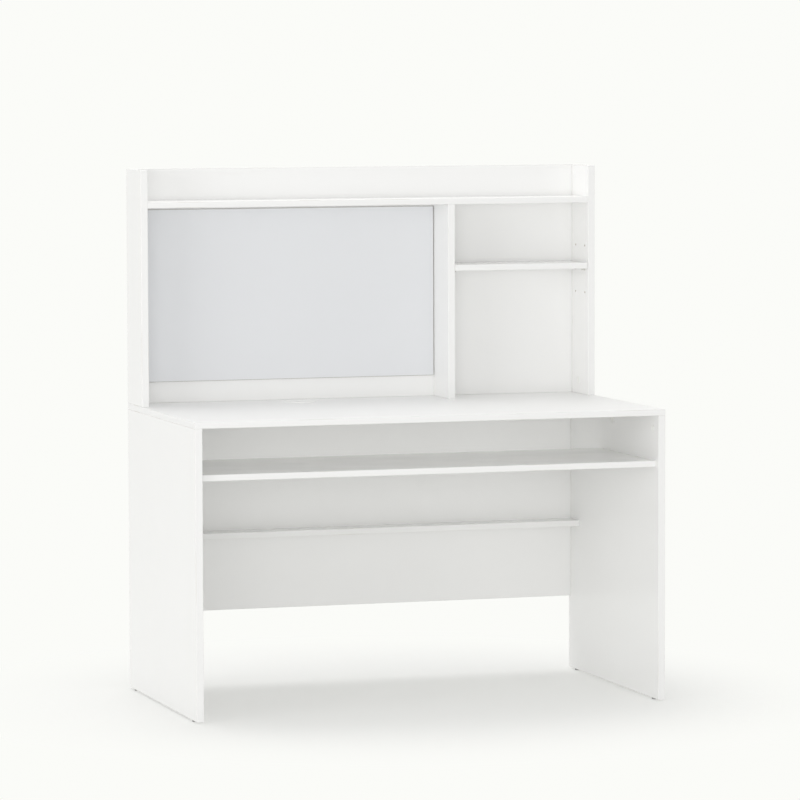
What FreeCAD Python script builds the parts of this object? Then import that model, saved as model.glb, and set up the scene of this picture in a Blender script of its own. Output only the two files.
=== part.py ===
import FreeCAD, Part
import os
import re
import Sketcher

# A student desk with a hutch in white melamine board, joined with cam fittings, dowels and screws.
# Millimetres, +Z up, the front faces -Y, and the origin is on the floor under the middle of the desk.

SIZES = {
    # Desk boards
    "desk_width": 1200,
    "desk_depth": 650,
    "desk_height": 725,
    "top_thickness": 15,
    "side_thickness": 18,
    "arris_radius": 1,
    "keyboard_shelf_drop": 113,
    "keyboard_shelf_setback": 18,
    "keyboard_shelf_depth": 390,
    "keyboard_shelf_thickness": 15,
    "modesty_thickness": 15,
    "modesty_floor_gap": 192,
    "ledge_height": 395,
    "ledge_depth": 65,
    "ledge_thickness": 15,
    # Hutch boards
    "hutch_height": 590,
    "hutch_depth": 145,
    "hutch_side_thickness": 18,
    "hutch_back_thickness": 15,
    "hutch_back_inset": 8,
    "hutch_shelf_thickness": 15,
    "gallery_height": 80,
    "divider_thickness": 18,
    "right_bay_width": 360,
    "small_shelf_rise": 341,
    "small_shelf_thickness": 15,
    "small_shelf_side_gap": 1,
    "small_shelf_rear_gap": 2,
    # Writing board on the hutch back
    "writing_board_thickness": 6,
    "writing_board_rise": 53,
    "writing_board_top_gap": 7,
    "writing_board_side_gap": 1,
    # Clearances shared by all fittings
    "fit_clearance": 0.1,
    "cam_clearance": 0.2,
    "end_clearance": 1,
    # Cam locks, their bolts and covers
    "cam_diameter": 15,
    "cam_floor": 4.5,
    "cam_recess": 0.3,
    "cam_setback": 34,
    "cam_slot_length": 9,
    "cam_slot_width": 1.8,
    "cam_slot_depth": 2,
    "bolt_thread_diameter": 6,
    "bolt_thread_length": 10,
    "bolt_shank_diameter": 7,
    "bolt_neck_diameter": 4,
    "bolt_neck_length": 5,
    "bolt_head_diameter": 6.6,
    "bolt_head_length": 3.4,
    "cap_diameter": 17,
    "cap_thickness": 1,
    # Wooden dowels
    "dowel_diameter": 8,
    "dowel_length": 30,
    "dowel_seat_depth": 10,
    "dowel_chamfer": 1,
    # Countersunk screws
    "screw_head_diameter": 8,
    "screw_shank_diameter": 4,
    "screw_length": 40,
    "screw_tip_length": 4,
    "screw_recess_length": 4.4,
    "screw_recess_width": 1.1,
    "screw_recess_depth": 1.4,
    "board_screw_length": 19,
    # Shelf pins
    "pin_spigot_diameter": 5,
    "pin_spigot_length": 9,
    "pin_collar_diameter": 9,
    "pin_collar_length": 1.6,
    "pin_peg_diameter": 6,
    "pin_peg_length": 9,
    "pin_flat_rise": 2,
    "pin_row_pitch": 60,
    "pin_front_inset": 25,
    "pin_rear_inset": 28,
    # Floor glides
    "glide_height": 4,
    "glide_diameter": 16,
    "glide_edge": 1,
    "glide_nail_diameter": 3,
    "glide_nail_length": 14,
    "glide_inset": 45,
    # Cable grommet
    "grommet_hole_diameter": 75,
    "grommet_flange_diameter": 83,
    "grommet_flange_height": 2,
    "grommet_flange_edge": 1,
    "grommet_seat_width": 2.5,
    "grommet_seat_depth": 2.5,
    "grommet_wall": 1.8,
    "grommet_end_gap": 1,
    "grommet_gap": 0.3,
    "grommet_from_left": 422,
    "grommet_from_hutch_back": 76,
    "grommet_skirt_depth": 8,
    "grommet_notch_width": 16,
    "grommet_notch_depth": 15,
    # Places of the fittings along the boards
    "top_cam_inset": 40,
    "top_dowel_inset": 150,
    "modesty_cam_inset": 70,
    "modesty_dowel_spacing": 300,
    "keyboard_cam_inset": 55,
    "ledge_screw_spacing": 300,
    "hutch_cam_from_rear": 72,
    "hutch_dowel_front_inset": 25,
    "hutch_dowel_rear_inset": 14,
    "hutch_shelf_cam_inset": 35,
    "hutch_shelf_dowel_inset": 88,
    "hutch_back_cam_inset": 100,
    "hutch_back_dowel_spacing": 450,
    "divider_screw_foot": 80,
    "divider_screw_pitch": 130,
    "shelf_screw_spacing": 300,
    "writing_board_screw_inset": 60,
}

SIZE_NAME = re.compile(r"\b(" + "|".join(SIZES) + r")\b")

# Levels and planes of the desk, as sums of the sizes above
LEFT = "-desk_width / 2"
RIGHT = "desk_width / 2"
FRONT = "-desk_depth / 2"
REAR = "desk_depth / 2"
LEFT_INNER = LEFT + " + side_thickness"
RIGHT_INNER = RIGHT + " - side_thickness"
CLEAR_WIDTH = "desk_width - 2 * side_thickness"
TOP_UNDER = "desk_height - top_thickness"
SHELF_FRONT = FRONT + " + keyboard_shelf_setback"
SHELF_REAR = SHELF_FRONT + " + keyboard_shelf_depth"
SHELF_UNDER = TOP_UNDER + " - keyboard_shelf_drop - keyboard_shelf_thickness"
MODESTY_FRONT = REAR + " - modesty_thickness"
MODESTY_MIDDLE = REAR + " - modesty_thickness / 2"
LEDGE_MIDDLE = "ledge_height - ledge_thickness / 2"

# Levels and planes of the hutch
HUTCH_TOP = "desk_height + hutch_height"
HUTCH_FRONT = REAR + " - hutch_depth"
HUTCH_LEFT_INNER = LEFT + " + hutch_side_thickness"
HUTCH_RIGHT_INNER = RIGHT + " - hutch_side_thickness"
HUTCH_CLEAR_WIDTH = "desk_width - 2 * hutch_side_thickness"
BACK_FRONT = REAR + " - hutch_back_inset - hutch_back_thickness"
BACK_MIDDLE = REAR + " - hutch_back_inset - hutch_back_thickness / 2"
HUTCH_CLEAR_DEPTH = "hutch_depth - hutch_back_inset - hutch_back_thickness"
HUTCH_SHELF_UNDER = HUTCH_TOP + " - gallery_height - hutch_shelf_thickness"
HUTCH_SHELF_MIDDLE = HUTCH_TOP + " - gallery_height - hutch_shelf_thickness / 2"
DIVIDER_RIGHT = HUTCH_RIGHT_INNER + " - right_bay_width"
DIVIDER_LEFT = DIVIDER_RIGHT + " - divider_thickness"
DIVIDER_MIDDLE = DIVIDER_RIGHT + " - divider_thickness / 2"
SMALL_SHELF_UNDER = "desk_height + small_shelf_rise - small_shelf_thickness"
WRITING_BOARD_LEFT = HUTCH_LEFT_INNER + " + writing_board_side_gap"
WRITING_BOARD_RIGHT = DIVIDER_LEFT + " - writing_board_side_gap"
WRITING_BOARD_FOOT = "desk_height + writing_board_rise"
WRITING_BOARD_HEAD = HUTCH_SHELF_UNDER + " - writing_board_top_gap"

# Each face of a board: the axis that it crosses and the way that it looks along it
FACES = {"left": "-x", "right": "+x", "front": "-y", "back": "+y", "bottom": "-z", "top": "+z"}
OPPOSITE = {
    "left": "right",
    "right": "left",
    "front": "back",
    "back": "front",
    "bottom": "top",
    "top": "bottom",
}
PLANES = ("YZ_Plane", "XZ_Plane", "XY_Plane")

doc = FreeCAD.newDocument("student_desk")
sheet = doc.addObject("Spreadsheet::Sheet", "Sizes")
for row, (size_name, size_value) in enumerate(SIZES.items(), start=1):
    sheet.set("A%d" % row, str(size_value))
    sheet.setAlias("A%d" % row, size_name)
doc.recompute()


def difference(first, second):
    """The text of one length less another."""
    return "(%s) - (%s)" % (first, second)


def shifted(start, way, amount):
    """The text of a place moved along an axis by a named amount."""
    return "(%s) %s (%s)" % (start, "+" if way > 0 else "-", amount)


def bind(thing, path, text):
    """Tie a property to the sheet: the size names in the text become its cells."""
    thing.setExpression(path, SIZE_NAME.sub(r"Sizes.\1", text))


def place(thing, point):
    """Tie the place of a piece to three texts."""
    for letter, text in zip("xyz", point):
        bind(thing, "Placement.Base." + letter, text)


def axis_and_way(face):
    """The number of the axis that a face crosses, and 1 or -1 for the way that it looks."""
    sign, letter = FACES[face]
    return "xyz".index(letter), 1 if sign == "+" else -1


def direction(face):
    """The unit vector that points out of a face."""
    axis, way = axis_and_way(face)
    parts = [0, 0, 0]
    parts[axis] = way
    return FreeCAD.Vector(*parts)


def frame_of(outward, toward):
    """The turn that sets a fitting's Z axis outward and its X axis toward a side."""
    side = outward.cross(toward)
    return FreeCAD.Rotation(toward, side, outward, "ZXY")


def origin_plane(body, role):
    """One of the body's own origin planes."""
    for feature in body.Origin.OriginFeatures:
        if feature.Role == role:
            return feature
    raise ValueError("no plane " + role)


def new_sketch(body, name, plane, offset):
    """A sketch on an origin plane of its body, moved along the plane's normal."""
    sketch = body.newObject("Sketcher::SketchObject", name)
    sketch.AttachmentSupport = [(origin_plane(body, plane), "")]
    sketch.MapMode = "FlatFace"
    bind(sketch, "AttachmentOffset.Base.z", offset)
    return sketch


def pin_point(sketch, geometry, position, place_texts):
    """Hold a point of a sketch at its distances from the origin."""
    for kind, axis, text in (("DistanceX", -2, place_texts[0]), ("DistanceY", -1, place_texts[1])):
        if text == "0":
            sketch.addConstraint(Sketcher.Constraint("PointOnObject", geometry, position, axis))
        else:
            number = sketch.addConstraint(Sketcher.Constraint(kind, -1, 1, geometry, position, 1.0))
            bind(sketch, "Constraints[%d]" % number, text)


def draw_circles(sketch, centres, diameter):
    """Circles of one diameter, each held at its centre."""
    for centre in centres:
        unit_circle = Part.Circle(FreeCAD.Vector(1, 1, 0), FreeCAD.Vector(0, 0, 1), 1)
        circle = sketch.addGeometry(unit_circle, False)
        pin_point(sketch, circle, 3, centre)
        number = sketch.addConstraint(Sketcher.Constraint("Diameter", circle, 1.0))
        bind(sketch, "Constraints[%d]" % number, diameter)


def draw_outline(sketch, points):
    """A closed outline of straight lines through the points."""
    starts = [FreeCAD.Vector(1 + number, number * number, 0) for number in range(len(points))]
    for number in range(len(points)):
        sketch.addGeometry(Part.LineSegment(starts[number], starts[number - len(points) + 1]), False)
    for number, point in enumerate(points):
        after = (number + 1) % len(points)
        sketch.addConstraint(Sketcher.Constraint("Coincident", number, 2, after, 1))
        pin_point(sketch, number, 1, point)


def prove_cut(body, cut, before):
    """Finish a cut, and stop if it missed its solid."""
    body.Tip = cut
    doc.recompute()
    if not body.Shape.Volume < before:
        raise ValueError(cut.Name + " removes nothing")


def pocket(body, name, sketch, depth, backwards=False):
    """A flat-bottomed cut, or a cut right through where no depth is given."""
    before = body.Shape.Volume
    cut = body.newObject("PartDesign::Pocket", name)
    cut.Profile = sketch
    cut.Reversed = backwards
    if depth is None:
        cut.Type = "ThroughAll"
    else:
        cut.Type = "Length"
        bind(cut, "Length", depth)
    prove_cut(body, cut, before)


def turned(name, profile):
    """A body turned about its Z axis from an outline of radius and height."""
    body = doc.addObject("PartDesign::Body", name)
    body.Label = name
    sketch = new_sketch(body, name + "_profile", "XZ_Plane", "0")
    draw_outline(sketch, profile)
    spin = body.newObject("PartDesign::Revolution", name + "_spin")
    spin.Profile = sketch
    spin.ReferenceAxis = (sketch, ["V_Axis"])
    spin.Angle = 360
    body.Tip = spin
    doc.recompute()
    return body


class Board:
    """A rectangular board with rounded arrises, drilled from its faces at places in the desk's frame."""

    def __init__(self, label, corner, size):
        self.label = label
        self.corner = corner
        self.size = size
        self.holes = 0
        self.body = doc.addObject("PartDesign::Body", label)
        self.body.Label = label
        block = self.body.newObject("PartDesign::AdditiveBox", label + "_block")
        for side, text in zip(("Length", "Width", "Height"), size):
            bind(block, side, text)
        doc.recompute()
        rounding = self.body.newObject("PartDesign::Fillet", label + "_arrises")
        rounding.Base = (block, ["Edge%d" % (number + 1) for number in range(len(block.Shape.Edges))])
        bind(rounding, "Radius", "arris_radius")
        self.body.Tip = rounding
        place(self.body, corner)
        doc.recompute()

    def sketch_on(self, face):
        """A sketch on one face, and whether a cut from there runs along the sketch's normal."""
        axis, way = axis_and_way(face)
        self.holes += 1
        name = "%s_spots_%d" % (self.label, self.holes)
        offset = self.size[axis] if way > 0 else "0"
        if axis == 1:
            offset = "-(%s)" % offset
        backwards = (way < 0) != (axis == 1)
        return new_sketch(self.body, name, PLANES[axis], offset), backwards

    def local(self, face, points):
        """The two distances in the face, from the board's corner, of places in the desk's frame."""
        crossed = axis_and_way(face)[0]
        kept = [axis for axis in range(3) if axis != crossed]
        return [[difference(point[axis], self.corner[axis]) for axis in kept] for point in points]

    def drill(self, face, points, diameter, depth):
        """Round holes of one diameter and depth from a face, or right through."""
        sketch, backwards = self.sketch_on(face)
        draw_circles(sketch, self.local(face, points), diameter)
        pocket(self.body, sketch.Name + "_cut", sketch, depth, backwards)

    def drill_sunk(self, face, points):
        """Countersunk clearance holes for screws, right through from a face."""
        sketch, backwards = self.sketch_on(face)
        draw_circles(sketch, self.local(face, points), "screw_shank_diameter + 2 * fit_clearance")
        doc.recompute()
        before = self.body.Shape.Volume
        hole = self.body.newObject("PartDesign::Hole", sketch.Name + "_sunk")
        hole.Profile = sketch
        hole.Reversed = backwards
        doc.recompute()
        hole.Threaded = False
        hole.ThreadType = "None"
        hole.DepthType = "ThroughAll"
        hole.HoleCutType = "Countersink"
        hole.HoleCutCustomValues = True
        hole.HoleCutCountersinkAngle = 90
        bind(hole, "Diameter", "screw_shank_diameter + 2 * fit_clearance")
        bind(hole, "HoleCutDiameter", "screw_head_diameter + 2 * fit_clearance")
        prove_cut(self.body, hole, before)


def make_cam(name, bolt_depth):
    """A round cam: a cross slot in its face and a throat from its rim for the head of the bolt."""
    radius = "cam_diameter / 2"
    deep = "-(%s) - cam_floor" % bolt_depth
    body = turned(name, [("0", deep), (radius, deep), (radius, "-cam_recess"), ("0", "-cam_recess")])
    slot = new_sketch(body, name + "_slot", "XY_Plane", "-cam_recess")
    draw_outline(slot, cross_points("cam_slot_length", "cam_slot_width"))
    pocket(body, name + "_slot_cut", slot, "cam_slot_depth")
    throat = new_sketch(body, name + "_throat", "YZ_Plane", radius)
    draw_circles(throat, [("0", "-(%s)" % bolt_depth)], "bolt_head_diameter + 2 * cam_clearance")
    pocket(body, name + "_throat_cut", throat, radius + " + bolt_head_length / 2 + cam_clearance")
    return body


def cross_points(length, width):
    """The outline of a plus sign, for cross slots."""
    long = "%s / 2" % length
    short = "%s / 2" % width
    quarter = [(long, short), (short, short), (short, long)]
    points = []
    for sign_x, sign_y in ((1, 1), (-1, 1), (-1, -1), (1, -1)):
        corner = quarter if sign_x * sign_y > 0 else quarter[::-1]
        for across, along in corner:
            points.append((signed(across, sign_x), signed(along, sign_y)))
    return points


def signed(text, sign):
    """A length or its negative."""
    return text if sign > 0 else "-%s" % text


def make_bolt():
    """A cam bolt: its thread below the joint, then shank, neck and head up to the middle of the cam."""
    thread = "bolt_thread_diameter / 2"
    shank = "bolt_shank_diameter / 2"
    neck = "bolt_neck_diameter / 2"
    head = "bolt_head_diameter / 2"
    head_start = "cam_setback - bolt_head_length / 2"
    head_end = "cam_setback + bolt_head_length / 2"
    neck_start = head_start + " - bolt_neck_length"
    return turned("cam_bolt", [
        ("0", "-bolt_thread_length"),
        (thread, "-bolt_thread_length"),
        (thread, "0"),
        (shank, "0"),
        (shank, neck_start),
        (neck, neck_start),
        (neck, head_start),
        (head, head_start),
        (head, head_end),
        ("0", head_end),
    ])


def make_dowel():
    """A chamfered wooden dowel, with its seat in the face of a board below zero."""
    radius = "dowel_diameter / 2"
    slim = radius + " - dowel_chamfer"
    top = "dowel_length - dowel_seat_depth"
    return turned("dowel", [
        ("0", "-dowel_seat_depth"),
        (slim, "-dowel_seat_depth"),
        (radius, "-dowel_seat_depth + dowel_chamfer"),
        (radius, top + " - dowel_chamfer"),
        (slim, top),
        ("0", top),
    ])


def make_screw(name, length):
    """A countersunk screw with a cross recess, its head level with the face that it goes in from."""
    head = "screw_head_diameter / 2"
    shank = "screw_shank_diameter / 2"
    tip_start = "-%s + screw_tip_length" % length
    body = turned(name, [
        ("0", "-" + length),
        (shank, tip_start),
        (shank, "-screw_head_diameter / 2 + screw_shank_diameter / 2"),
        (head, "0"),
        ("0", "0"),
    ])
    recess = new_sketch(body, name + "_recess", "XY_Plane", "0")
    draw_outline(recess, cross_points("screw_recess_length", "screw_recess_width"))
    pocket(body, name + "_recess_cut", recess, "screw_recess_depth")
    return body


def make_cap():
    """A cover over a cam: a thin button with a sloped rim, lying on the board."""
    radius = "cap_diameter / 2"
    return turned("cam_cap", [
        ("0", "0"),
        (radius, "0"),
        (radius + " - cap_thickness", "cap_thickness"),
        ("0", "cap_thickness"),
    ])


def make_pin():
    """A shelf pin: spigot below zero, then a collar and a peg, flattened on the +X side for the shelf."""
    spigot = "pin_spigot_diameter / 2"
    collar = "pin_collar_diameter / 2"
    peg = "pin_peg_diameter / 2"
    end = "pin_collar_length + pin_peg_length"
    body = turned("shelf_pin", [
        ("0", "-pin_spigot_length"),
        (spigot, "-pin_spigot_length"),
        (spigot, "0"),
        (collar, "0"),
        (collar, "pin_collar_length"),
        (peg, "pin_collar_length"),
        (peg, end),
        ("0", end),
    ])
    flat = new_sketch(body, "shelf_pin_flat", "XY_Plane", end)
    draw_outline(flat, [
        ("pin_flat_rise", "-pin_collar_diameter"),
        ("pin_collar_diameter", "-pin_collar_diameter"),
        ("pin_collar_diameter", "pin_collar_diameter"),
        ("pin_flat_rise", "pin_collar_diameter"),
    ])
    pocket(body, "shelf_pin_flat_cut", flat, end)
    return body


def make_glide():
    """A nail-in floor glide, its pad on the floor at zero."""
    pad = "glide_diameter / 2"
    nail = "glide_nail_diameter / 2"
    end = "glide_height + glide_nail_length"
    return turned("floor_glide", [
        ("0", "0"),
        (pad + " - glide_edge", "0"),
        (pad, "glide_edge"),
        (pad, "glide_height"),
        (nail, "glide_height"),
        (nail, end),
        ("0", end),
    ])


# Radii of the grommet, from its hole inward
SLEEVE_RADIUS = "grommet_hole_diameter / 2 - grommet_gap"
BORE_RADIUS = SLEEVE_RADIUS + " - grommet_wall - grommet_seat_width"
SEAT_RADIUS = SLEEVE_RADIUS + " - grommet_wall"
SEAT_LEVEL = "grommet_flange_height - grommet_seat_depth"
GROMMET_PLACE = (
    LEFT + " + grommet_from_left",
    BACK_FRONT + " - grommet_from_hutch_back",
    "desk_height",
)


def make_grommet_sleeve():
    """The grommet's sleeve: a flange on the desk top, a seat for the cap and a tube through the hole."""
    flange = "grommet_flange_diameter / 2"
    foot = "-top_thickness + grommet_end_gap"
    body = turned("grommet_sleeve", [
        (BORE_RADIUS, foot),
        (SLEEVE_RADIUS, foot),
        (SLEEVE_RADIUS, "0"),
        (flange, "0"),
        (flange, "grommet_flange_height - grommet_flange_edge"),
        (flange + " - grommet_flange_edge", "grommet_flange_height"),
        (SEAT_RADIUS, "grommet_flange_height"),
        (SEAT_RADIUS, SEAT_LEVEL),
        (BORE_RADIUS, SEAT_LEVEL),
    ])
    place(body, GROMMET_PLACE)
    return body


def make_grommet_cap():
    """The grommet's cap: a disc in the seat, a skirt in the bore and a notch at its rim for cables."""
    rim = SEAT_RADIUS + " - grommet_gap"
    skirt = BORE_RADIUS + " - grommet_gap"
    skirt_foot = SEAT_LEVEL + " - grommet_skirt_depth"
    body = turned("grommet_cap", [
        ("0", "grommet_flange_height"),
        (rim, "grommet_flange_height"),
        (rim, SEAT_LEVEL),
        (skirt, SEAT_LEVEL),
        (skirt, skirt_foot),
        (skirt + " - grommet_wall", skirt_foot),
        (skirt + " - grommet_wall", SEAT_LEVEL),
        ("0", SEAT_LEVEL),
    ])
    half = "grommet_notch_width / 2"
    inner = rim + " - grommet_notch_depth + grommet_notch_width / 2"
    notch = new_sketch(body, "grommet_cap_notch", "XY_Plane", "grommet_flange_height")
    draw_outline(notch, [
        ("-" + half, inner),
        (half, inner),
        (half, "grommet_hole_diameter / 2"),
        ("-" + half, "grommet_hole_diameter / 2"),
    ])
    pocket(body, "grommet_cap_notch_cut", notch, None)
    round_end = new_sketch(body, "grommet_cap_round", "XY_Plane", "grommet_flange_height")
    draw_circles(round_end, [("0", inner)], "grommet_notch_width")
    pocket(body, "grommet_cap_round_cut", round_end, None)
    place(body, GROMMET_PLACE)
    return body


copies = {}


def set_copy(node, original, point, turn):
    """Put one more copy of a fitting into a node, at a place and a turn."""
    made = copies.setdefault(node, [])
    link = doc.addObject("App::Link", "%s_copy_%d" % (node, len(made) + 1))
    link.LinkedObject = original
    link.Placement = FreeCAD.Placement(FreeCAD.Vector(), turn)
    place(link, point)
    made.append(link)


def moved(point, axis, text):
    """The same place with another value along one axis."""
    return tuple(text if number == axis else old for number, old in enumerate(point))


def face_level(board, face):
    """The place of a face along its own axis."""
    axis, way = axis_and_way(face)
    return shifted(board.corner[axis], 1, board.size[axis] if way > 0 else "0")


def join_with_cams(board, cam_face, edge, mate, points, cam, nodes):
    """Cam joints from a board's edge to the face of its mate, at places on the joint."""
    edge_axis, edge_way = axis_and_way(edge)
    cam_axis = axis_and_way(cam_face)[0]
    centres = []
    for point in points:
        centres.append(moved(point, edge_axis, shifted(point[edge_axis], -edge_way, "cam_setback")))
    bolt_depth = board.size[cam_axis] + " / 2"
    cam_hole = "cam_diameter + 2 * cam_clearance"
    board.drill(cam_face, centres, cam_hole, bolt_depth + " + cam_floor + fit_clearance")
    board.drill(edge, points, "bolt_shank_diameter + 2 * fit_clearance", "cam_setback")
    thread_hole = "bolt_thread_diameter + 2 * fit_clearance"
    mate.drill(OPPOSITE[edge], points, thread_hole, "bolt_thread_length + end_clearance")
    outward = direction(cam_face)
    along = direction(edge)
    cam_node, bolt_node, cap_node = nodes
    for point, centre in zip(points, centres):
        on_face = moved(centre, cam_axis, face_level(board, cam_face))
        set_copy(cam_node, cam, on_face, frame_of(outward, along))
        set_copy(bolt_node, bolt, point, frame_of(-along, outward))
        if cap_node:
            set_copy(cap_node, cap, on_face, frame_of(outward, along))


def join_with_dowels(board, edge, mate, points, node):
    """Dowels from a board's edge into the face of its mate, at places on the joint."""
    hole = "dowel_diameter + 2 * fit_clearance"
    board.drill(edge, points, hole, "dowel_length - dowel_seat_depth + end_clearance")
    mate.drill(OPPOSITE[edge], points, hole, "dowel_seat_depth + end_clearance")
    along = direction(edge)
    across = direction("front" if edge in ("top", "bottom") else "top")
    for point in points:
        set_copy(node, dowel, point, frame_of(-along, across))


def join_with_screws(board, face, mate, points, fitting, length, node):
    """Countersunk screws through a board from one face into the board behind it."""
    axis = axis_and_way(face)[0]
    board.drill_sunk(face, points)
    pilot = "screw_shank_diameter + 2 * fit_clearance"
    depth = "%s - %s + end_clearance" % (length, board.size[axis])
    mate.drill(face, points, pilot, depth)
    across = direction("front" if face in ("top", "bottom") else "top")
    for point in points:
        on_face = moved(point, axis, face_level(board, face))
        set_copy(node, fitting, on_face, frame_of(direction(face), across))


# Boards of the desk
desk_top = Board("desk_top", (LEFT, FRONT, TOP_UNDER), ("desk_width", "desk_depth", "top_thickness"))
side_size = ("side_thickness", "desk_depth", TOP_UNDER + " - glide_height")
left_side = Board("left_side_panel", (LEFT, FRONT, "glide_height"), side_size)
right_side = Board("right_side_panel", (RIGHT_INNER, FRONT, "glide_height"), side_size)
keyboard_shelf = Board(
    "keyboard_shelf",
    (LEFT_INNER, SHELF_FRONT, SHELF_UNDER),
    (CLEAR_WIDTH, "keyboard_shelf_depth", "keyboard_shelf_thickness"),
)
modesty = Board(
    "modesty_panel",
    (LEFT_INNER, MODESTY_FRONT, "modesty_floor_gap"),
    (CLEAR_WIDTH, "modesty_thickness", TOP_UNDER + " - modesty_floor_gap"),
)
ledge = Board(
    "rear_ledge",
    (LEFT_INNER, MODESTY_FRONT + " - ledge_depth", "ledge_height - ledge_thickness"),
    (CLEAR_WIDTH, "ledge_depth", "ledge_thickness"),
)

# Boards of the hutch
hutch_side_size = ("hutch_side_thickness", "hutch_depth", "hutch_height")
hutch_left = Board("hutch_left_side", (LEFT, HUTCH_FRONT, "desk_height"), hutch_side_size)
hutch_right = Board("hutch_right_side", (HUTCH_RIGHT_INNER, HUTCH_FRONT, "desk_height"), hutch_side_size)
hutch_back = Board(
    "hutch_back_panel",
    (HUTCH_LEFT_INNER, BACK_FRONT, "desk_height"),
    (HUTCH_CLEAR_WIDTH, "hutch_back_thickness", "hutch_height"),
)
hutch_shelf = Board(
    "hutch_top_shelf",
    (HUTCH_LEFT_INNER, HUTCH_FRONT, HUTCH_SHELF_UNDER),
    (HUTCH_CLEAR_WIDTH, HUTCH_CLEAR_DEPTH, "hutch_shelf_thickness"),
)
divider = Board(
    "hutch_divider",
    (DIVIDER_LEFT, HUTCH_FRONT, "desk_height"),
    ("divider_thickness", HUTCH_CLEAR_DEPTH, HUTCH_SHELF_UNDER + " - desk_height"),
)
small_shelf = Board(
    "hutch_small_shelf",
    (DIVIDER_RIGHT + " + small_shelf_side_gap", HUTCH_FRONT, SMALL_SHELF_UNDER),
    (
        "right_bay_width - 2 * small_shelf_side_gap",
        HUTCH_CLEAR_DEPTH + " - small_shelf_rear_gap",
        "small_shelf_thickness",
    ),
)
writing_board = Board(
    "writing_board",
    (WRITING_BOARD_LEFT, BACK_FRONT + " - writing_board_thickness", WRITING_BOARD_FOOT),
    (
        difference(WRITING_BOARD_RIGHT, WRITING_BOARD_LEFT),
        "writing_board_thickness",
        difference(WRITING_BOARD_HEAD, WRITING_BOARD_FOOT),
    ),
)
boards = [
    desk_top, left_side, right_side, keyboard_shelf, modesty, ledge, hutch_left, hutch_right, hutch_back,
    hutch_shelf, divider, small_shelf, writing_board,
]

# Fittings, each made once and copied
bolt = make_bolt()
dowel = make_dowel()
cap = make_cap()
long_screw = make_screw("long_screw", "screw_length")
short_screw = make_screw("short_screw", "board_screw_length")
shelf_pin = make_pin()
floor_glide = make_glide()
side_cam = make_cam("side_cam", "side_thickness / 2")
modesty_cam = make_cam("modesty_cam", "modesty_thickness / 2")
keyboard_cam = make_cam("keyboard_cam", "keyboard_shelf_thickness / 2")
ledge_cam = make_cam("ledge_cam", "ledge_thickness / 2")
hutch_side_cam = make_cam("hutch_side_cam", "hutch_side_thickness / 2")
hutch_shelf_cam = make_cam("hutch_shelf_cam", "hutch_shelf_thickness / 2")
hutch_back_cam = make_cam("hutch_back_cam", "hutch_back_thickness / 2")

# Desk joints, the same on both sides
SIDES = (
    (left_side, "left", "right", LEFT + " + side_thickness / 2", LEFT_INNER),
    (right_side, "right", "left", RIGHT + " - side_thickness / 2", RIGHT_INNER),
)
for side, end, inner_face, middle, inner in SIDES:
    top_rows = (FRONT + " + top_cam_inset", "0", REAR + " - top_cam_inset")
    points = [(middle, along, TOP_UNDER) for along in top_rows]
    join_with_cams(side, inner_face, "top", desk_top, points, side_cam,
                   ("side_panel_cams", "desk_cam_bolts", "cam_cover_caps"))
    dowel_rows = (FRONT + " + top_dowel_inset", REAR + " - top_dowel_inset")
    points = [(middle, along, TOP_UNDER) for along in dowel_rows]
    join_with_dowels(side, "top", desk_top, points, "desk_dowels")
    heights = ("modesty_floor_gap + modesty_cam_inset", TOP_UNDER + " - modesty_cam_inset")
    points = [(inner, MODESTY_MIDDLE, height) for height in heights]
    join_with_cams(modesty, "back", end, side, points, modesty_cam, ("modesty_cams", "desk_cam_bolts", None))
    shelf_middle = SHELF_UNDER + " + keyboard_shelf_thickness / 2"
    shelf_rows = (SHELF_FRONT + " + keyboard_cam_inset", SHELF_REAR + " - keyboard_cam_inset")
    points = [(inner, along, shelf_middle) for along in shelf_rows]
    join_with_cams(keyboard_shelf, "bottom", end, side, points, keyboard_cam,
                   ("keyboard_shelf_cams", "desk_cam_bolts", None))
    shelf_centre = SHELF_FRONT + " + keyboard_shelf_depth / 2"
    join_with_dowels(keyboard_shelf, end, side, [(inner, shelf_centre, shelf_middle)], "desk_dowels")
    ledge_centre = MODESTY_FRONT + " - ledge_depth / 2"
    points = [(inner, ledge_centre, LEDGE_MIDDLE)]
    join_with_cams(ledge, "bottom", end, side, points, ledge_cam, ("ledge_cams", "desk_cam_bolts", None))

# The modesty panel is pegged to the desk top, and screwed to the ledge from behind
points = [(across, MODESTY_MIDDLE, TOP_UNDER)
          for across in ("-modesty_dowel_spacing", "0", "modesty_dowel_spacing")]
join_with_dowels(modesty, "top", desk_top, points, "desk_dowels")
points = [(across, MODESTY_FRONT, LEDGE_MIDDLE)
          for across in ("-ledge_screw_spacing", "0", "ledge_screw_spacing")]
join_with_screws(modesty, "back", ledge, points, long_screw, "screw_length", "ledge_screws")

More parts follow.
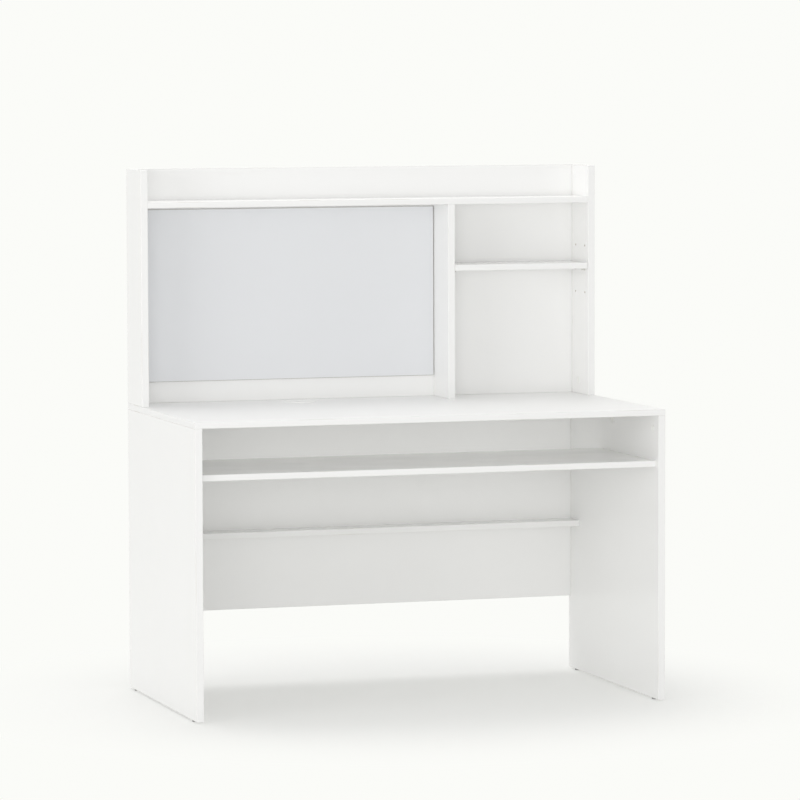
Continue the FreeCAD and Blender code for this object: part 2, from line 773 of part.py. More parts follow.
# Hutch joints, the same on both sides
HUTCH_SIDES = (
    (hutch_left, "left", "right", LEFT + " + hutch_side_thickness / 2", HUTCH_LEFT_INNER),
    (hutch_right, "right", "left", RIGHT + " - hutch_side_thickness / 2", HUTCH_RIGHT_INNER),
)
for side, end, inner_face, middle, inner in HUTCH_SIDES:
    points = [(middle, REAR + " - hutch_cam_from_rear", "desk_height")]
    join_with_cams(side, inner_face, "bottom", desk_top, points, hutch_side_cam,
                   ("hutch_side_cams", "hutch_cam_bolts", "cam_cover_caps"))
    dowel_rows = (HUTCH_FRONT + " + hutch_dowel_front_inset", REAR + " - hutch_dowel_rear_inset")
    points = [(middle, along, "desk_height") for along in dowel_rows]
    join_with_dowels(side, "bottom", desk_top, points, "hutch_dowels")
    points = [(inner, HUTCH_FRONT + " + hutch_shelf_cam_inset", HUTCH_SHELF_MIDDLE)]
    join_with_cams(hutch_shelf, "bottom", end, side, points, hutch_shelf_cam,
                   ("hutch_shelf_cams", "hutch_cam_bolts", None))
    points = [(inner, HUTCH_FRONT + " + hutch_shelf_dowel_inset", HUTCH_SHELF_MIDDLE)]
    join_with_dowels(hutch_shelf, end, side, points, "hutch_dowels")
    heights = ("desk_height + hutch_back_cam_inset", HUTCH_TOP + " - gallery_height - hutch_back_cam_inset")
    points = [(inner, BACK_MIDDLE, height) for height in heights]
    join_with_cams(hutch_back, "back", end, side, points, hutch_back_cam,
                   ("hutch_back_cams", "hutch_cam_bolts", None))

# The hutch back stands on two dowels, and holds the divider, the top shelf and the writing board
points = [(across, BACK_MIDDLE, "desk_height")
          for across in ("-hutch_back_dowel_spacing", "hutch_back_dowel_spacing")]
join_with_dowels(hutch_back, "bottom", desk_top, points, "hutch_dowels")
lower_screw = "desk_height + divider_screw_foot"
points = [(DIVIDER_MIDDLE, BACK_FRONT, height)
          for height in (lower_screw, lower_screw + " + divider_screw_pitch")]
join_with_screws(hutch_back, "back", divider, points, long_screw, "screw_length", "hutch_back_screws")
points = [(across, BACK_FRONT, HUTCH_SHELF_MIDDLE)
          for across in ("-shelf_screw_spacing", "0", "shelf_screw_spacing")]
join_with_screws(hutch_back, "back", hutch_shelf, points, long_screw, "screw_length", "hutch_back_screws")
columns = (
    WRITING_BOARD_LEFT + " + writing_board_screw_inset",
    "((%s) + (%s)) / 2" % (WRITING_BOARD_LEFT, WRITING_BOARD_RIGHT),
    WRITING_BOARD_RIGHT + " - writing_board_screw_inset",
)
rows = (
    WRITING_BOARD_FOOT + " + writing_board_screw_inset",
    WRITING_BOARD_HEAD + " - writing_board_screw_inset",
)
points = [(across, BACK_FRONT, height) for across in columns for height in rows]
join_with_screws(hutch_back, "back", writing_board, points, short_screw, "board_screw_length",
                 "writing_board_screws")

# The divider is pegged into the top shelf and screwed from under the desk top
divider_rows = (HUTCH_FRONT + " + hutch_shelf_cam_inset", HUTCH_FRONT + " + hutch_shelf_dowel_inset")
points = [(DIVIDER_MIDDLE, along, HUTCH_SHELF_UNDER) for along in divider_rows]
join_with_dowels(divider, "top", hutch_shelf, points, "hutch_dowels")
points = [(DIVIDER_MIDDLE, along, "desk_height") for along in divider_rows]
join_with_screws(desk_top, "bottom", divider, points, long_screw, "screw_length", "divider_screws")

# Three rows of holes for the shelf pins, with the pins in the middle row
PIN_HEIGHT = SMALL_SHELF_UNDER + " - pin_flat_rise"
PIN_PLACES = (
    ("front", HUTCH_FRONT + " + pin_front_inset"),
    ("rear", BACK_FRONT + " - pin_rear_inset"),
)
PIN_BOARDS = (
    ("left", divider, "right", DIVIDER_RIGHT),
    ("right", hutch_right, "left", HUTCH_RIGHT_INNER),
)
for end, board, face, level in PIN_BOARDS:
    rows = ["%s + %d * pin_row_pitch" % (PIN_HEIGHT, step) for step in (-1, 0, 1)]
    points = [(level, along, height) for name, along in PIN_PLACES for height in rows]
    pin_hole = "pin_spigot_diameter + 2 * fit_clearance"
    board.drill(face, points, pin_hole, "pin_spigot_length + end_clearance")
    for name, along in PIN_PLACES:
        turn = frame_of(direction(face), direction("top"))
        set_copy("shelf_pin_%s_%s" % (name, end), shelf_pin, (level, along, PIN_HEIGHT), turn)

# Two glides under each side panel
GLIDE_PLACES = (("front", FRONT + " + glide_inset"), ("rear", REAR + " - glide_inset"))
for side, end, inner_face, middle, inner in SIDES:
    points = [(middle, along, "glide_height") for name, along in GLIDE_PLACES]
    nail_hole = "glide_nail_diameter + 2 * fit_clearance"
    side.drill("bottom", points, nail_hole, "glide_nail_length + end_clearance")
    for name, along in GLIDE_PLACES:
        turn = frame_of(direction("top"), direction("right"))
        set_copy("glide_%s_%s" % (name, end), floor_glide, (middle, along, "0"), turn)

# The cable grommet in the desk top
desk_top.drill("top", [GROMMET_PLACE], "grommet_hole_diameter", None)
sleeve = make_grommet_sleeve()
grommet_cap = make_grommet_cap()

nodes = {board.label: board.body for board in boards}
nodes["grommet_sleeve"] = sleeve
nodes["grommet_cap"] = grommet_cap
for node, links in copies.items():
    group = doc.addObject("Part::Compound", node)
    group.Label = node
    group.Links = links
    nodes[node] = group
doc.recompute()

faults = [thing.Name for thing in doc.Objects if {"Invalid", "Error"} & set(thing.State)]
faults += [name for name, thing in nodes.items() if thing.Shape.isNull() or not thing.Shape.isValid()]
if faults:
    raise ValueError("failed: " + ", ".join(faults))
os.makedirs("parts", exist_ok=True)
for name, thing in nodes.items():
    thing.Shape.exportStep("parts/%s.step" % name)
    print(name, len(thing.Shape.Solids), "solids", round(thing.Shape.Volume), "mm3")
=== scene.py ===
"""Finishes, fittings, light and camera of the white student desk with hutch, in metres."""

import math

import bmesh
import bpy
from mathutils import Euler, Matrix, Vector


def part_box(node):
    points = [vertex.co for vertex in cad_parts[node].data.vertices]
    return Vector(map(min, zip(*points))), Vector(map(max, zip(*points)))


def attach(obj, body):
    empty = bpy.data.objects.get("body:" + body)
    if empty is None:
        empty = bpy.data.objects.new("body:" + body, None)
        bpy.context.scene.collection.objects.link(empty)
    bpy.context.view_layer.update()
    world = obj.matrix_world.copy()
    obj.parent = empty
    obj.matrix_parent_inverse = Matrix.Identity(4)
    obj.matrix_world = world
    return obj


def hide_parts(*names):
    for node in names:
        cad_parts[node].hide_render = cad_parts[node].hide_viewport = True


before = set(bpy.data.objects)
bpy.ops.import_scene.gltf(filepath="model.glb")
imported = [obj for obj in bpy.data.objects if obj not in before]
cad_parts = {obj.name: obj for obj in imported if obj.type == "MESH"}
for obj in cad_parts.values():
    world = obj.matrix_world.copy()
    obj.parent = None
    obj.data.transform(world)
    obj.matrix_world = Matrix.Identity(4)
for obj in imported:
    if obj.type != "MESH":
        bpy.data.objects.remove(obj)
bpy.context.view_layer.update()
bpy.ops.object.select_all(action="DESELECT")

MM = 0.001

# Boards faced with white melamine and edged with a thin band of the same white
BOARDS = (
    "desk_top", "left_side_panel", "right_side_panel", "keyboard_shelf", "modesty_panel", "rear_ledge",
    "hutch_left_side", "hutch_right_side", "hutch_back_panel", "hutch_top_shelf", "hutch_divider",
    "hutch_small_shelf",
)
WORN_BOARDS = ("desk_top", "hutch_top_shelf")
BAND_THICKNESS = 1.0 * MM
BAND_END = (0.9 * BAND_THICKNESS, 1.1 * BAND_THICKNESS)
ARRIS_END = (0.4 * BAND_THICKNESS, 2.0 * BAND_THICKNESS)
GLUE_LINE = 0.25 * MM
FACE_PAPER = 0.5 * MM
CORE_START = 0.8 * FACE_PAPER

# Where the glides and the shelf pins stand, in the names of their nodes
CORNERS = ("front_left", "rear_left", "front_right", "rear_right")


class Shading:
    """Adds, sets and links the nodes of one shader tree."""

    def __init__(self, tree):
        self.tree = tree
        tree.nodes.clear()

    def feed(self, socket, value):
        """Links a socket to another one, or gives it a plain value."""
        if isinstance(value, bpy.types.NodeSocket):
            self.tree.links.new(value, socket)
        else:
            socket.default_value = value

    def add(self, kind, sockets=None, **settings):
        """Adds a node, with its settings and its sockets by name."""
        node = self.tree.nodes.new(kind)
        for name, value in settings.items():
            setattr(node, name, value)
        for name, value in (sockets or {}).items():
            self.feed(node.inputs[name], value)
        return node

    def math(self, operation, *values):
        node = self.add("ShaderNodeMath", operation=operation)
        for socket, value in zip(node.inputs, values):
            self.feed(socket, value)
        return node.outputs["Value"]

    def vector(self, operation, *values):
        node = self.add("ShaderNodeVectorMath", operation=operation)
        for socket, value in zip(node.inputs, values):
            self.feed(socket, value)
        return node.outputs["Vector"]

    def ramp(self, value, start, end, low=0.0, high=1.0):
        """A smooth rise from low to high while value goes from start to end."""
        sockets = {"Value": value, "From Min": start, "From Max": end, "To Min": low, "To Max": high}
        node = self.add("ShaderNodeMapRange", sockets, interpolation_type="SMOOTHSTEP")
        return node.outputs["Result"]

    def fall(self, value, start, end):
        """A smooth fall from 1 to 0 while value goes from start to end."""
        return self.ramp(value, start, end, 1.0, 0.0)

    def between(self, mask, low, high):
        """A number that goes from low to high as a mask goes from 0 to 1."""
        return self.ramp(mask, 0.0, 1.0, low, high)

    def blend(self, mask, first, second):
        """The first colour where mask is 0, the second where it is 1."""
        node = self.add("ShaderNodeMix", data_type="RGBA")
        for number, value in ((0, mask), (6, first), (7, second)):
            self.feed(node.inputs[number], value)
        return node.outputs[2]

    def mix_shaders(self, mask, first, second):
        """The first shader where mask is 0, the second where it is 1."""
        node = self.add("ShaderNodeMixShader", {"Fac": mask})
        self.feed(node.inputs[1], first)
        self.feed(node.inputs[2], second)
        return node.outputs["Shader"]

    def place(self):
        """The point on the piece, in the frame of the whole desk."""
        return self.add("ShaderNodeTexCoord").outputs["Object"]

    def noise(self, place, scale, detail=2.0, roughness=0.5, distortion=0.0):
        sockets = {
            "Vector": place, "Scale": scale, "Detail": detail, "Roughness": roughness,
            "Distortion": distortion,
        }
        return self.add("ShaderNodeTexNoise", sockets).outputs["Fac"]

    def stretched(self, place, stretch):
        """A place scaled by axis: a pattern there is finer along an axis with a larger number."""
        return self.vector("MULTIPLY", place, stretch)

    def smallest(self, vector):
        """The smallest of a vector's three parts."""
        parts = self.add("ShaderNodeSeparateXYZ", {"Vector": vector}).outputs
        return self.math("MINIMUM", self.math("MINIMUM", parts["X"], parts["Y"]), parts["Z"])

    def use(self, group, **sockets):
        """Places a shared group, with its inputs set by name."""
        node = self.add("ShaderNodeGroup", node_tree=group)
        for name, value in sockets.items():
            self.feed(node.inputs[name.replace("_", " ")], value)
        return node.outputs


def colour(red, green, blue):
    return (red, green, blue, 1.0)


# Effects that several finishes share

VECTOR = "NodeSocketVector"
NUMBER = "NodeSocketFloat"
COLOUR = "NodeSocketColor"

HALF = (0.5, 0.5, 0.5)
ONES = (1.0, 1.0, 1.0)

# Scales count grains in a metre, and a spread is the part of a noise that its mask covers
EVEN_SPREAD = (0.3, 0.7)
CLOUD_SPREAD = (0.25, 0.75)
HAND_MARK_SCALE = 5.0
HAND_MARK_STRETCH = (1.0, 1.3, 0.8)
CHIP_STRETCH = (1.0, 1.0, 2.2)
CHIP_DARK = colour(0.30, 0.19, 0.10)
CHIP_LIGHT = colour(0.62, 0.46, 0.28)
FIBRE_SCALE = 2600.0
FIBRE_STRETCH = (1.0, 4.0, 1.0)
FIBRE_SPREAD = (0.35, 0.65)
FIBRE_SHADE = colour(0.20, 0.12, 0.06)
METAL_CLOUD_SCALE = 240.0


def shared_group(name, inputs, outputs):
    """An empty node group with named sockets, its shading helper, its inputs and its output node."""
    tree = bpy.data.node_groups.new(name, "ShaderNodeTree")
    shading = Shading(tree)
    for label, kind in inputs:
        tree.interface.new_socket(label, in_out="INPUT", socket_type=kind)
    for label, kind in outputs:
        tree.interface.new_socket(label, in_out="OUTPUT", socket_type=kind)
    return tree, shading, shading.add("NodeGroupInput").outputs, shading.add("NodeGroupOutput").inputs


def make_board_layers():
    """Where a board shows its edge band, the glue line beside it, its rounded arris and its core."""
    tree, shading, given, out = shared_group(
        "board layers",
        [("Low corner", VECTOR), ("High corner", VECTOR), ("Across", VECTOR)],
        [("Band", NUMBER), ("Glue line", NUMBER), ("Arris", NUMBER), ("Core", NUMBER)],
    )
    total = shading.vector("ADD", given["Low corner"], given["High corner"])
    span = shading.vector("SUBTRACT", given["High corner"], given["Low corner"])
    middle = shading.vector("MULTIPLY", total, HALF)
    half = shading.vector("MULTIPLY", span, HALF)
    offset = shading.vector("ABSOLUTE", shading.vector("SUBTRACT", shading.place(), middle))
    depth = shading.vector("SUBTRACT", half, offset)
    from_any_face = shading.smallest(depth)
    from_edge = shading.smallest(shading.vector("ADD", depth, given["Across"]))
    along = shading.vector("SUBTRACT", ONES, given["Across"])
    from_broad_face = shading.smallest(shading.vector("ADD", depth, along))
    from_both = shading.math("ADD", from_edge, from_broad_face)
    beside_seam = shading.math("ABSOLUTE", shading.math("SUBTRACT", from_edge, BAND_THICKNESS))
    shading.feed(out["Band"], shading.fall(from_edge, *BAND_END))
    shading.feed(out["Glue line"], shading.fall(beside_seam, 0.0, GLUE_LINE))
    shading.feed(out["Arris"], shading.fall(from_both, *ARRIS_END))
    shading.feed(out["Core"], shading.ramp(from_any_face, CORE_START, FACE_PAPER))
    return tree


def make_satin_print():
    """The fine pearl of a pressed or moulded white surface, with slight clouds of tone and gloss."""
    tree, shading, given, out = shared_group(
        "satin print",
        [("Pearl scale", NUMBER), ("Cloud scale", NUMBER)],
        [("Height", NUMBER), ("Tone", NUMBER), ("Gloss", NUMBER)],
    )
    place = shading.place()
    pearl = shading.noise(place, given["Pearl scale"], detail=2.0, roughness=0.6)
    clouds = shading.noise(place, given["Cloud scale"], detail=4.0, roughness=0.55)
    handled = shading.stretched(place, HAND_MARK_STRETCH)
    hand_marks = shading.noise(handled, HAND_MARK_SCALE, detail=1.5)
    shading.feed(out["Height"], pearl)
    shading.feed(out["Tone"], shading.ramp(clouds, *CLOUD_SPREAD))
    shading.feed(out["Gloss"], shading.ramp(hand_marks, *EVEN_SPREAD))
    return tree


def make_chipboard():
    """Pressed wood chips, as they show in a drilled hole or on a sawn edge."""
    tree, shading, given, out = shared_group(
        "chipboard", [("Chip scale", NUMBER)], [("Colour", COLOUR), ("Height", NUMBER)],
    )
    place = shading.stretched(shading.place(), CHIP_STRETCH)
    chips = shading.add("ShaderNodeTexVoronoi", {"Vector": place, "Scale": given["Chip scale"]})
    fibres = shading.noise(shading.stretched(place, FIBRE_STRETCH), FIBRE_SCALE, detail=3.0)
    level = shading.add("ShaderNodeSeparateColor", {"Color": chips.outputs["Color"]}).outputs["Red"]
    toned = shading.blend(level, CHIP_DARK, CHIP_LIGHT)
    darkened = shading.blend(shading.ramp(fibres, *FIBRE_SPREAD), FIBRE_SHADE, toned)
    shading.feed(out["Colour"], darkened)
    shading.feed(out["Height"], shading.math("ADD", chips.outputs["Distance"], fibres))
    return tree


def make_metal_skin():
    """Fine grain and handling clouds of a small metal fitting."""
    tree, shading, given, out = shared_group(
        "metal skin",
        [("Grain scale", NUMBER)],
        [("Height", NUMBER), ("Grain", NUMBER), ("Clouds", NUMBER)],
    )
    place = shading.place()
    grain = shading.noise(place, given["Grain scale"], detail=4.0, roughness=0.65)
    clouds = shading.noise(place, METAL_CLOUD_SCALE, detail=3.0, roughness=0.6)
    shading.feed(out["Height"], grain)
    shading.feed(out["Grain"], shading.ramp(grain, *EVEN_SPREAD))
    shading.feed(out["Clouds"], shading.ramp(clouds, *EVEN_SPREAD))
    return tree


board_layers = make_board_layers()
satin_print = make_satin_print()
chipboard = make_chipboard()
metal_skin = make_metal_skin()


# Finishes

def new_material(name):
    """A material with one Principled shader, given as its shading helper and the shader's inputs."""
    material = bpy.data.materials.new(name)
    material.use_nodes = True
    shading = Shading(material.node_tree)
    surface = shading.add("ShaderNodeBsdfPrincipled")
    shading.add("ShaderNodeOutputMaterial", {"Surface": surface.outputs["BSDF"]})
    return material, shading, surface.inputs


RELIEF_DEPTH = 0.1 * MM


def bump(shading, height, strength):
    """The normal of a surface with a fine relief of a height and a strength."""
    sockets = {"Height": height, "Strength": strength, "Distance": RELIEF_DEPTH}
    return shading.add("ShaderNodeBump", sockets).outputs["Normal"]


WHITE_PAPER = colour(0.919, 0.919, 0.914)
WHITE_PAPER_SHADE = colour(0.910, 0.910, 0.904)
WHITE_BAND = colour(0.914, 0.914, 0.909)
GLUE_SHADE = colour(0.66, 0.65, 0.61)
RUBBED_ARRIS = colour(0.80, 0.79, 0.76)

# Roughness of the pressed paper, from its dull patches to its fine ones
BOARD_SHEEN = (0.19, 0.16)
WORN_SHEEN = (0.50, 0.44)

BOARD_PEARL_SCALE = 1150.0
BOARD_CLOUD_SCALE = 2.6
BOARD_RELIEF = 0.08
CHIP_SCALE = 620.0
CORE_COARSENESS = 4.0
RUB_SPREAD = (0.72, 0.95)


def thickness_axis(low, high):
    """A unit vector across the thin way of a board."""
    span = high - low
    thin = min(range(3), key=lambda axis: span[axis])
    return [1.0 if axis == thin else 0.0 for axis in range(3)]


def layers_of(shading, node):
    """The masks of the shared board layers, for one board."""
    low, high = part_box(node)
    return shading.use(
        board_layers, Low_corner=low, High_corner=high, Across=thickness_axis(low, high),
    )


def melamine_finish(node):
    """White pressed paper on chipboard with a glued edge band, duller on the boards that are worn."""
    dull, fine = WORN_SHEEN if node in WORN_BOARDS else BOARD_SHEEN
    material, shading, surface = new_material("melamine " + node)
    layers = layers_of(shading, node)
    satin = shading.use(satin_print, Pearl_scale=BOARD_PEARL_SCALE, Cloud_scale=BOARD_CLOUD_SCALE)
    chips = shading.use(chipboard, Chip_scale=CHIP_SCALE)
    paper = shading.blend(satin["Tone"], WHITE_PAPER_SHADE, WHITE_PAPER)
    banded = shading.blend(layers["Band"], paper, WHITE_BAND)
    seamed = shading.blend(layers["Glue line"], banded, GLUE_SHADE)
    rub = shading.math("MULTIPLY", layers["Arris"], shading.ramp(satin["Gloss"], *RUB_SPREAD))
    rubbed = shading.blend(rub, seamed, RUBBED_ARRIS)
    shading.feed(surface["Base Color"], shading.blend(layers["Core"], rubbed, chips["Colour"]))
    sheen = shading.between(satin["Gloss"], dull, fine)
    shading.feed(surface["Roughness"], shading.math("MAXIMUM", sheen, layers["Core"]))
    rough_core = shading.math("MULTIPLY", chips["Height"], layers["Core"])
    height = shading.math("ADD", satin["Height"], shading.math("MULTIPLY", rough_core, CORE_COARSENESS))
    shading.feed(surface["Normal"], bump(shading, height, BOARD_RELIEF))
    return material


WRITING_BLUE = colour(0.778, 0.789, 0.812)
WRITING_BLUE_WIPED = colour(0.784, 0.794, 0.815)
# Dark edge colour: partly the bare edge of the sheet, partly painted shade standing in for the shadow
# lines at the board's edges
BARE_EDGE_AND_PAINTED_SHADE = colour(0.44, 0.42, 0.39)
WRITING_SHEEN = (0.26, 0.275)
WRITING_PEARL_SCALE = 700.0
WRITING_CLOUD_SCALE = 3.5
WRITING_RELIEF = 0.04
SWEEP_SCALE = 2.4
SWEEP_STRETCH = (1.0, 1.0, 2.2)
SWEEP_SPREAD = (0.15, 0.85)


def writing_finish():
    """A pale blue-grey lacquered sheet, faintly swept by a wiping cloth, with darker edges: partly its
    bare edge, partly painted shade for the shadow lines along them.
    """
    material, shading, surface = new_material("writing lacquer")
    swept = shading.stretched(shading.place(), SWEEP_STRETCH)
    sweeps = shading.noise(swept, SWEEP_SCALE, detail=1.5, distortion=0.5)
    satin = shading.use(satin_print, Pearl_scale=WRITING_PEARL_SCALE, Cloud_scale=WRITING_CLOUD_SCALE)
    layers = layers_of(shading, "writing_board")
    wiped = shading.ramp(sweeps, *SWEEP_SPREAD)
    lacquer = shading.blend(wiped, WRITING_BLUE, WRITING_BLUE_WIPED)
    # The arris mask paints the edges darker: the bare edge of the sheet plus painted shade where shadow
    # lines fall
    shading.feed(surface["Base Color"], shading.blend(layers["Arris"], lacquer, BARE_EDGE_AND_PAINTED_SHADE))
    shading.feed(surface["Roughness"], shading.between(wiped, *WRITING_SHEEN))
    shading.feed(surface["Normal"], bump(shading, satin["Height"], WRITING_RELIEF))
    return material


PLASTIC_PEARL_SCALE = 2400.0
PLASTIC_CLOUD_SCALE = 30.0
PLASTIC_RELIEF = 0.2


def plastic_finish(name, shade, light, roughest, finest):
    """Moulded plastic with a fine spark-eroded grain."""
    material, shading, surface = new_material(name)
    satin = shading.use(satin_print, Pearl_scale=PLASTIC_PEARL_SCALE, Cloud_scale=PLASTIC_CLOUD_SCALE)
    shading.feed(surface["Base Color"], shading.blend(satin["Tone"], shade, light))
    shading.feed(surface["Roughness"], shading.between(satin["Gloss"], roughest, finest))
    shading.feed(surface["Normal"], bump(shading, satin["Height"], PLASTIC_RELIEF))
    return material


def metal_finish(name, dull, bright, grain, roughest, finest, relief):
    """Bare or plated metal, clouded by handling, with so many grains to the metre."""
    material, shading, surface = new_material(name)
    skin = shading.use(metal_skin, Grain_scale=grain)
    shading.feed(surface["Base Color"], shading.blend(skin["Clouds"], dull, bright))
    shading.feed(surface["Roughness"], shading.between(skin["Grain"], roughest, finest))
    surface["Metallic"].default_value = 1.0
    shading.feed(surface["Normal"], bump(shading, skin["Height"], relief))
    return material


BEECH_SHADE = colour(0.52, 0.33, 0.18)
BEECH_LIGHT = colour(0.66, 0.46, 0.28)
BEECH_FLECK = colour(0.36, 0.20, 0.10)
BEECH_SHEEN = (0.72, 0.55)
BEECH_SHEEN_SPREAD = (0.2, 0.8)
BEECH_RELIEF = 0.3
GRAIN_SCALE = 900.0
GRAIN_STRETCH = (1.0, 1.0, 0.25)
FLECK_SCALE = 2200.0
FLECK_STRETCH = (1.0, 1.0, 0.12)
FLECK_SPREAD = (0.62, 0.72)


def beech_finish():
    """Pale beech with short darker flecks along the grain."""
    material, shading, surface = new_material("turned beech")
    place = shading.place()
    grain = shading.noise(shading.stretched(place, GRAIN_STRETCH), GRAIN_SCALE, detail=4.0, roughness=0.6)
    flecks = shading.noise(shading.stretched(place, FLECK_STRETCH), FLECK_SCALE)
    wood = shading.blend(shading.ramp(grain, *EVEN_SPREAD), BEECH_SHADE, BEECH_LIGHT)
    flecked = shading.blend(shading.ramp(flecks, *FLECK_SPREAD), wood, BEECH_FLECK)
    shading.feed(surface["Base Color"], flecked)
    shading.feed(surface["Roughness"], shading.ramp(grain, *BEECH_SHEEN_SPREAD, *BEECH_SHEEN))
    shading.feed(surface["Normal"], bump(shading, grain, BEECH_RELIEF))
    return material


def dress(node, material):
    """Gives a CAD node its finish."""
    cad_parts[node].material_slots[0].material = material


for board in BOARDS:
    dress(board, melamine_finish(board))
dress("writing_board", writing_finish())
white_plastic = plastic_finish(
    "moulded white plastic",
    shade=colour(0.850, 0.852, 0.830), light=colour(0.872, 0.874, 0.852), roughest=0.50, finest=0.38,
)
grommet_plastic = plastic_finish(
    "bright white plastic",
    shade=colour(0.930, 0.932, 0.920), light=colour(0.942, 0.944, 0.934), roughest=0.62, finest=0.50,
)
glide_plastic = plastic_finish(
    "grey polyethylene",
    shade=colour(0.25, 0.25, 0.25), light=colour(0.33, 0.33, 0.325), roughest=0.62, finest=0.45,
)
plated_steel = metal_finish(
    "zinc-plated steel", dull=colour(0.60, 0.60, 0.58), bright=colour(0.74, 0.74, 0.71),
    grain=2200.0, roughest=0.36, finest=0.22, relief=0.06,
)
cast_zinc = metal_finish(
    "die-cast zinc", dull=colour(0.44, 0.44, 0.44), bright=colour(0.60, 0.60, 0.60),
    grain=1500.0, roughest=0.62, finest=0.42, relief=0.35,
)
beech = beech_finish()


# Fittings: each is modelled once about the origin, facing +Z, and set out where the frame has it

UP = Vector((0.0, 0.0, 1.0))
DOWN = Vector((0.0, 0.0, -1.0))
BACK = Vector((0.0, 1.0, 0.0))
RIGHT = Vector((1.0, 0.0, 0.0))
QUARTER_TURN = math.pi / 2
MERGE_DISTANCE = 0.002 * MM
CUT_OVERRUN = 1.0 * MM
SHARP_ANGLE = math.radians(30.0)
TURNED_SIDES = 64

# The least part of a face's normal along a way, for the face to look that way or to lean that way at all
FACING_SHARE = 0.9
LEANING_SHARE = 0.01


def deselect():
    bpy.ops.object.select_all(action="DESELECT")


def take(piece):
    """Makes a piece the one that the next operators work on."""
    deselect()
    piece.select_set(True)
    bpy.context.view_layer.objects.active = piece


def edit(piece):
    """Goes into edit mode with the whole piece selected."""
    take(piece)
    bpy.ops.object.mode_set(mode="EDIT")
    bpy.ops.mesh.select_mode(type="VERT")
    bpy.ops.mesh.select_all(action="SELECT")


def leave_edit():
    bpy.ops.object.mode_set(mode="OBJECT")


def pick_faces(piece, wanted):
    """In edit mode, selects the faces whose middle and normal suit."""
    bpy.ops.mesh.select_mode(type="FACE")
    bpy.ops.mesh.select_all(action="DESELECT")
    mesh = bmesh.from_edit_mesh(piece.data)
    for face in mesh.faces:
        if wanted(face.calc_center_median(), face.normal):
            face.select_set(True)
    bmesh.update_edit_mesh(piece.data)


def pick_facing(piece, way):
    """In edit mode, selects the faces that look along a way."""
    pick_faces(piece, lambda middle, normal: normal.dot(way) > FACING_SHARE)


def pull(way):
    """Extrudes what is selected along a way."""
    bpy.ops.mesh.extrude_region_move(TRANSFORM_OT_translate={"value": tuple(way)})


def turn_profile(points, sides=TURNED_SIDES):
    """A turned piece: a profile of radius and level, drawn out of one point and spun about Z."""
    deselect()
    bpy.ops.mesh.primitive_plane_add(size=MM, location=(0.0, 0.0, 0.0))
    piece = bpy.context.object
    edit(piece)
    bpy.ops.mesh.merge(type="CENTER")
    bpy.ops.transform.translate(value=(points[0][0], 0.0, points[0][1]))
    for (radius, level), (next_radius, next_level) in zip(points, points[1:]):
        pull((next_radius - radius, 0.0, next_level - level))
    bpy.ops.mesh.select_all(action="SELECT")
    bpy.ops.mesh.spin(steps=sides, angle=math.tau, center=(0.0, 0.0, 0.0), axis=(0.0, 0.0, 1.0))
    close_up(piece)
    return piece


def close_up(piece):
    """Merges doubled points, turns all faces outwards and leaves edit mode."""
    leave_edit()
    edit(piece)
    bpy.ops.mesh.remove_doubles(threshold=MERGE_DISTANCE)
    bpy.ops.mesh.normals_make_consistent(inside=False)
    leave_edit()


def rounded(radius, level, size, start, end, steps=4):
    """Points of a profile's arc about a centre at a radius and a level, by angle from outwards to up."""
    points = []
    for step in range(steps + 1):
        angle = math.radians(start + (end - start) * step / steps)
        points.append((radius + size * math.cos(angle), level + size * math.sin(angle)))
    return points


def carve(piece, cutter, operation="DIFFERENCE"):
    """Cuts a shape out of a piece, or adds it, and clears the shape away."""
    take(piece)
    change = piece.modifiers.new("carve", "BOOLEAN")
    change.operation = operation
    change.solver = "EXACT"
    change.object = cutter
    bpy.ops.object.modifier_apply(modifier=change.name)
    bpy.data.objects.remove(cutter)


def ease(piece, width, segments=2):
    """Rounds the sharp edges of a piece by a small width."""
    take(piece)
    rounding = piece.modifiers.new("ease", "BEVEL")
    rounding.width = width
    rounding.segments = segments
    rounding.limit_method = "ANGLE"
    rounding.angle_limit = SHARP_ANGLE
    bpy.ops.object.modifier_apply(modifier=rounding.name)


def cross_plug(length, width, depth, foot_share, top):
    """A plus-shaped plug that reaches from a level down into a face, narrower at its foot."""
    deselect()
    bpy.ops.mesh.primitive_cube_add(size=width, location=(0.0, 0.0, top + CUT_OVERRUN - width / 2))
    plug = bpy.context.object
    edit(plug)
    pick_facing(plug, DOWN)
    bpy.ops.transform.translate(value=(0.0, 0.0, width - CUT_OVERRUN - depth))
    for side in (RIGHT, -RIGHT, BACK, -BACK):
        pick_faces(plug, lambda middle, normal: (
            normal.dot(side) > FACING_SHARE and abs(middle.x) + abs(middle.y) < width
        ))
        pull(side * (length - width) / 2)
    pick_facing(plug, DOWN)
    bpy.ops.transform.resize(value=(foot_share, foot_share, 1.0))
    leave_edit()
    bpy.ops.object.transform_apply(location=True, rotation=True, scale=True)
    return plug


def solids_of(node):
    """The lowest and highest corners of each separate solid in a CAD node."""
    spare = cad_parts[node].copy()
    spare.data = spare.data.copy()
    bpy.context.collection.objects.link(spare)
    edit(spare)
    bpy.ops.mesh.remove_doubles(threshold=MERGE_DISTANCE)
    bpy.ops.mesh.separate(type="LOOSE")
    leave_edit()
    boxes = []
    for solid in bpy.context.selected_objects:
        corners = [vertex.co for vertex in solid.data.vertices]
        low = Vector([min(corner[axis] for corner in corners) for axis in range(3)])
        high = Vector([max(corner[axis] for corner in corners) for axis in range(3)])
        boxes.append((low, high))
    bpy.ops.object.delete()
    return sorted(boxes, key=lambda box: tuple(box[0]))


def outward(box):
    """+X or -X, from the middle of the desk to a solid."""
    return Vector((math.copysign(1.0, box[0].x + box[1].x), 0.0, 0.0))


def along(box, way):
    """The length of a solid along a way."""
    return abs((box[1] - box[0]).dot(way))


def stand(box, facing, toward):
    """The matrix that puts a fitting's face at a solid's end, its own +X side toward a way."""
    place = (box[0] + box[1]) / 2 + facing * along(box, facing) / 2
    turn = Matrix((toward, facing.cross(toward), facing)).transposed()
    return Matrix.Translation(place) @ turn.to_4x4()


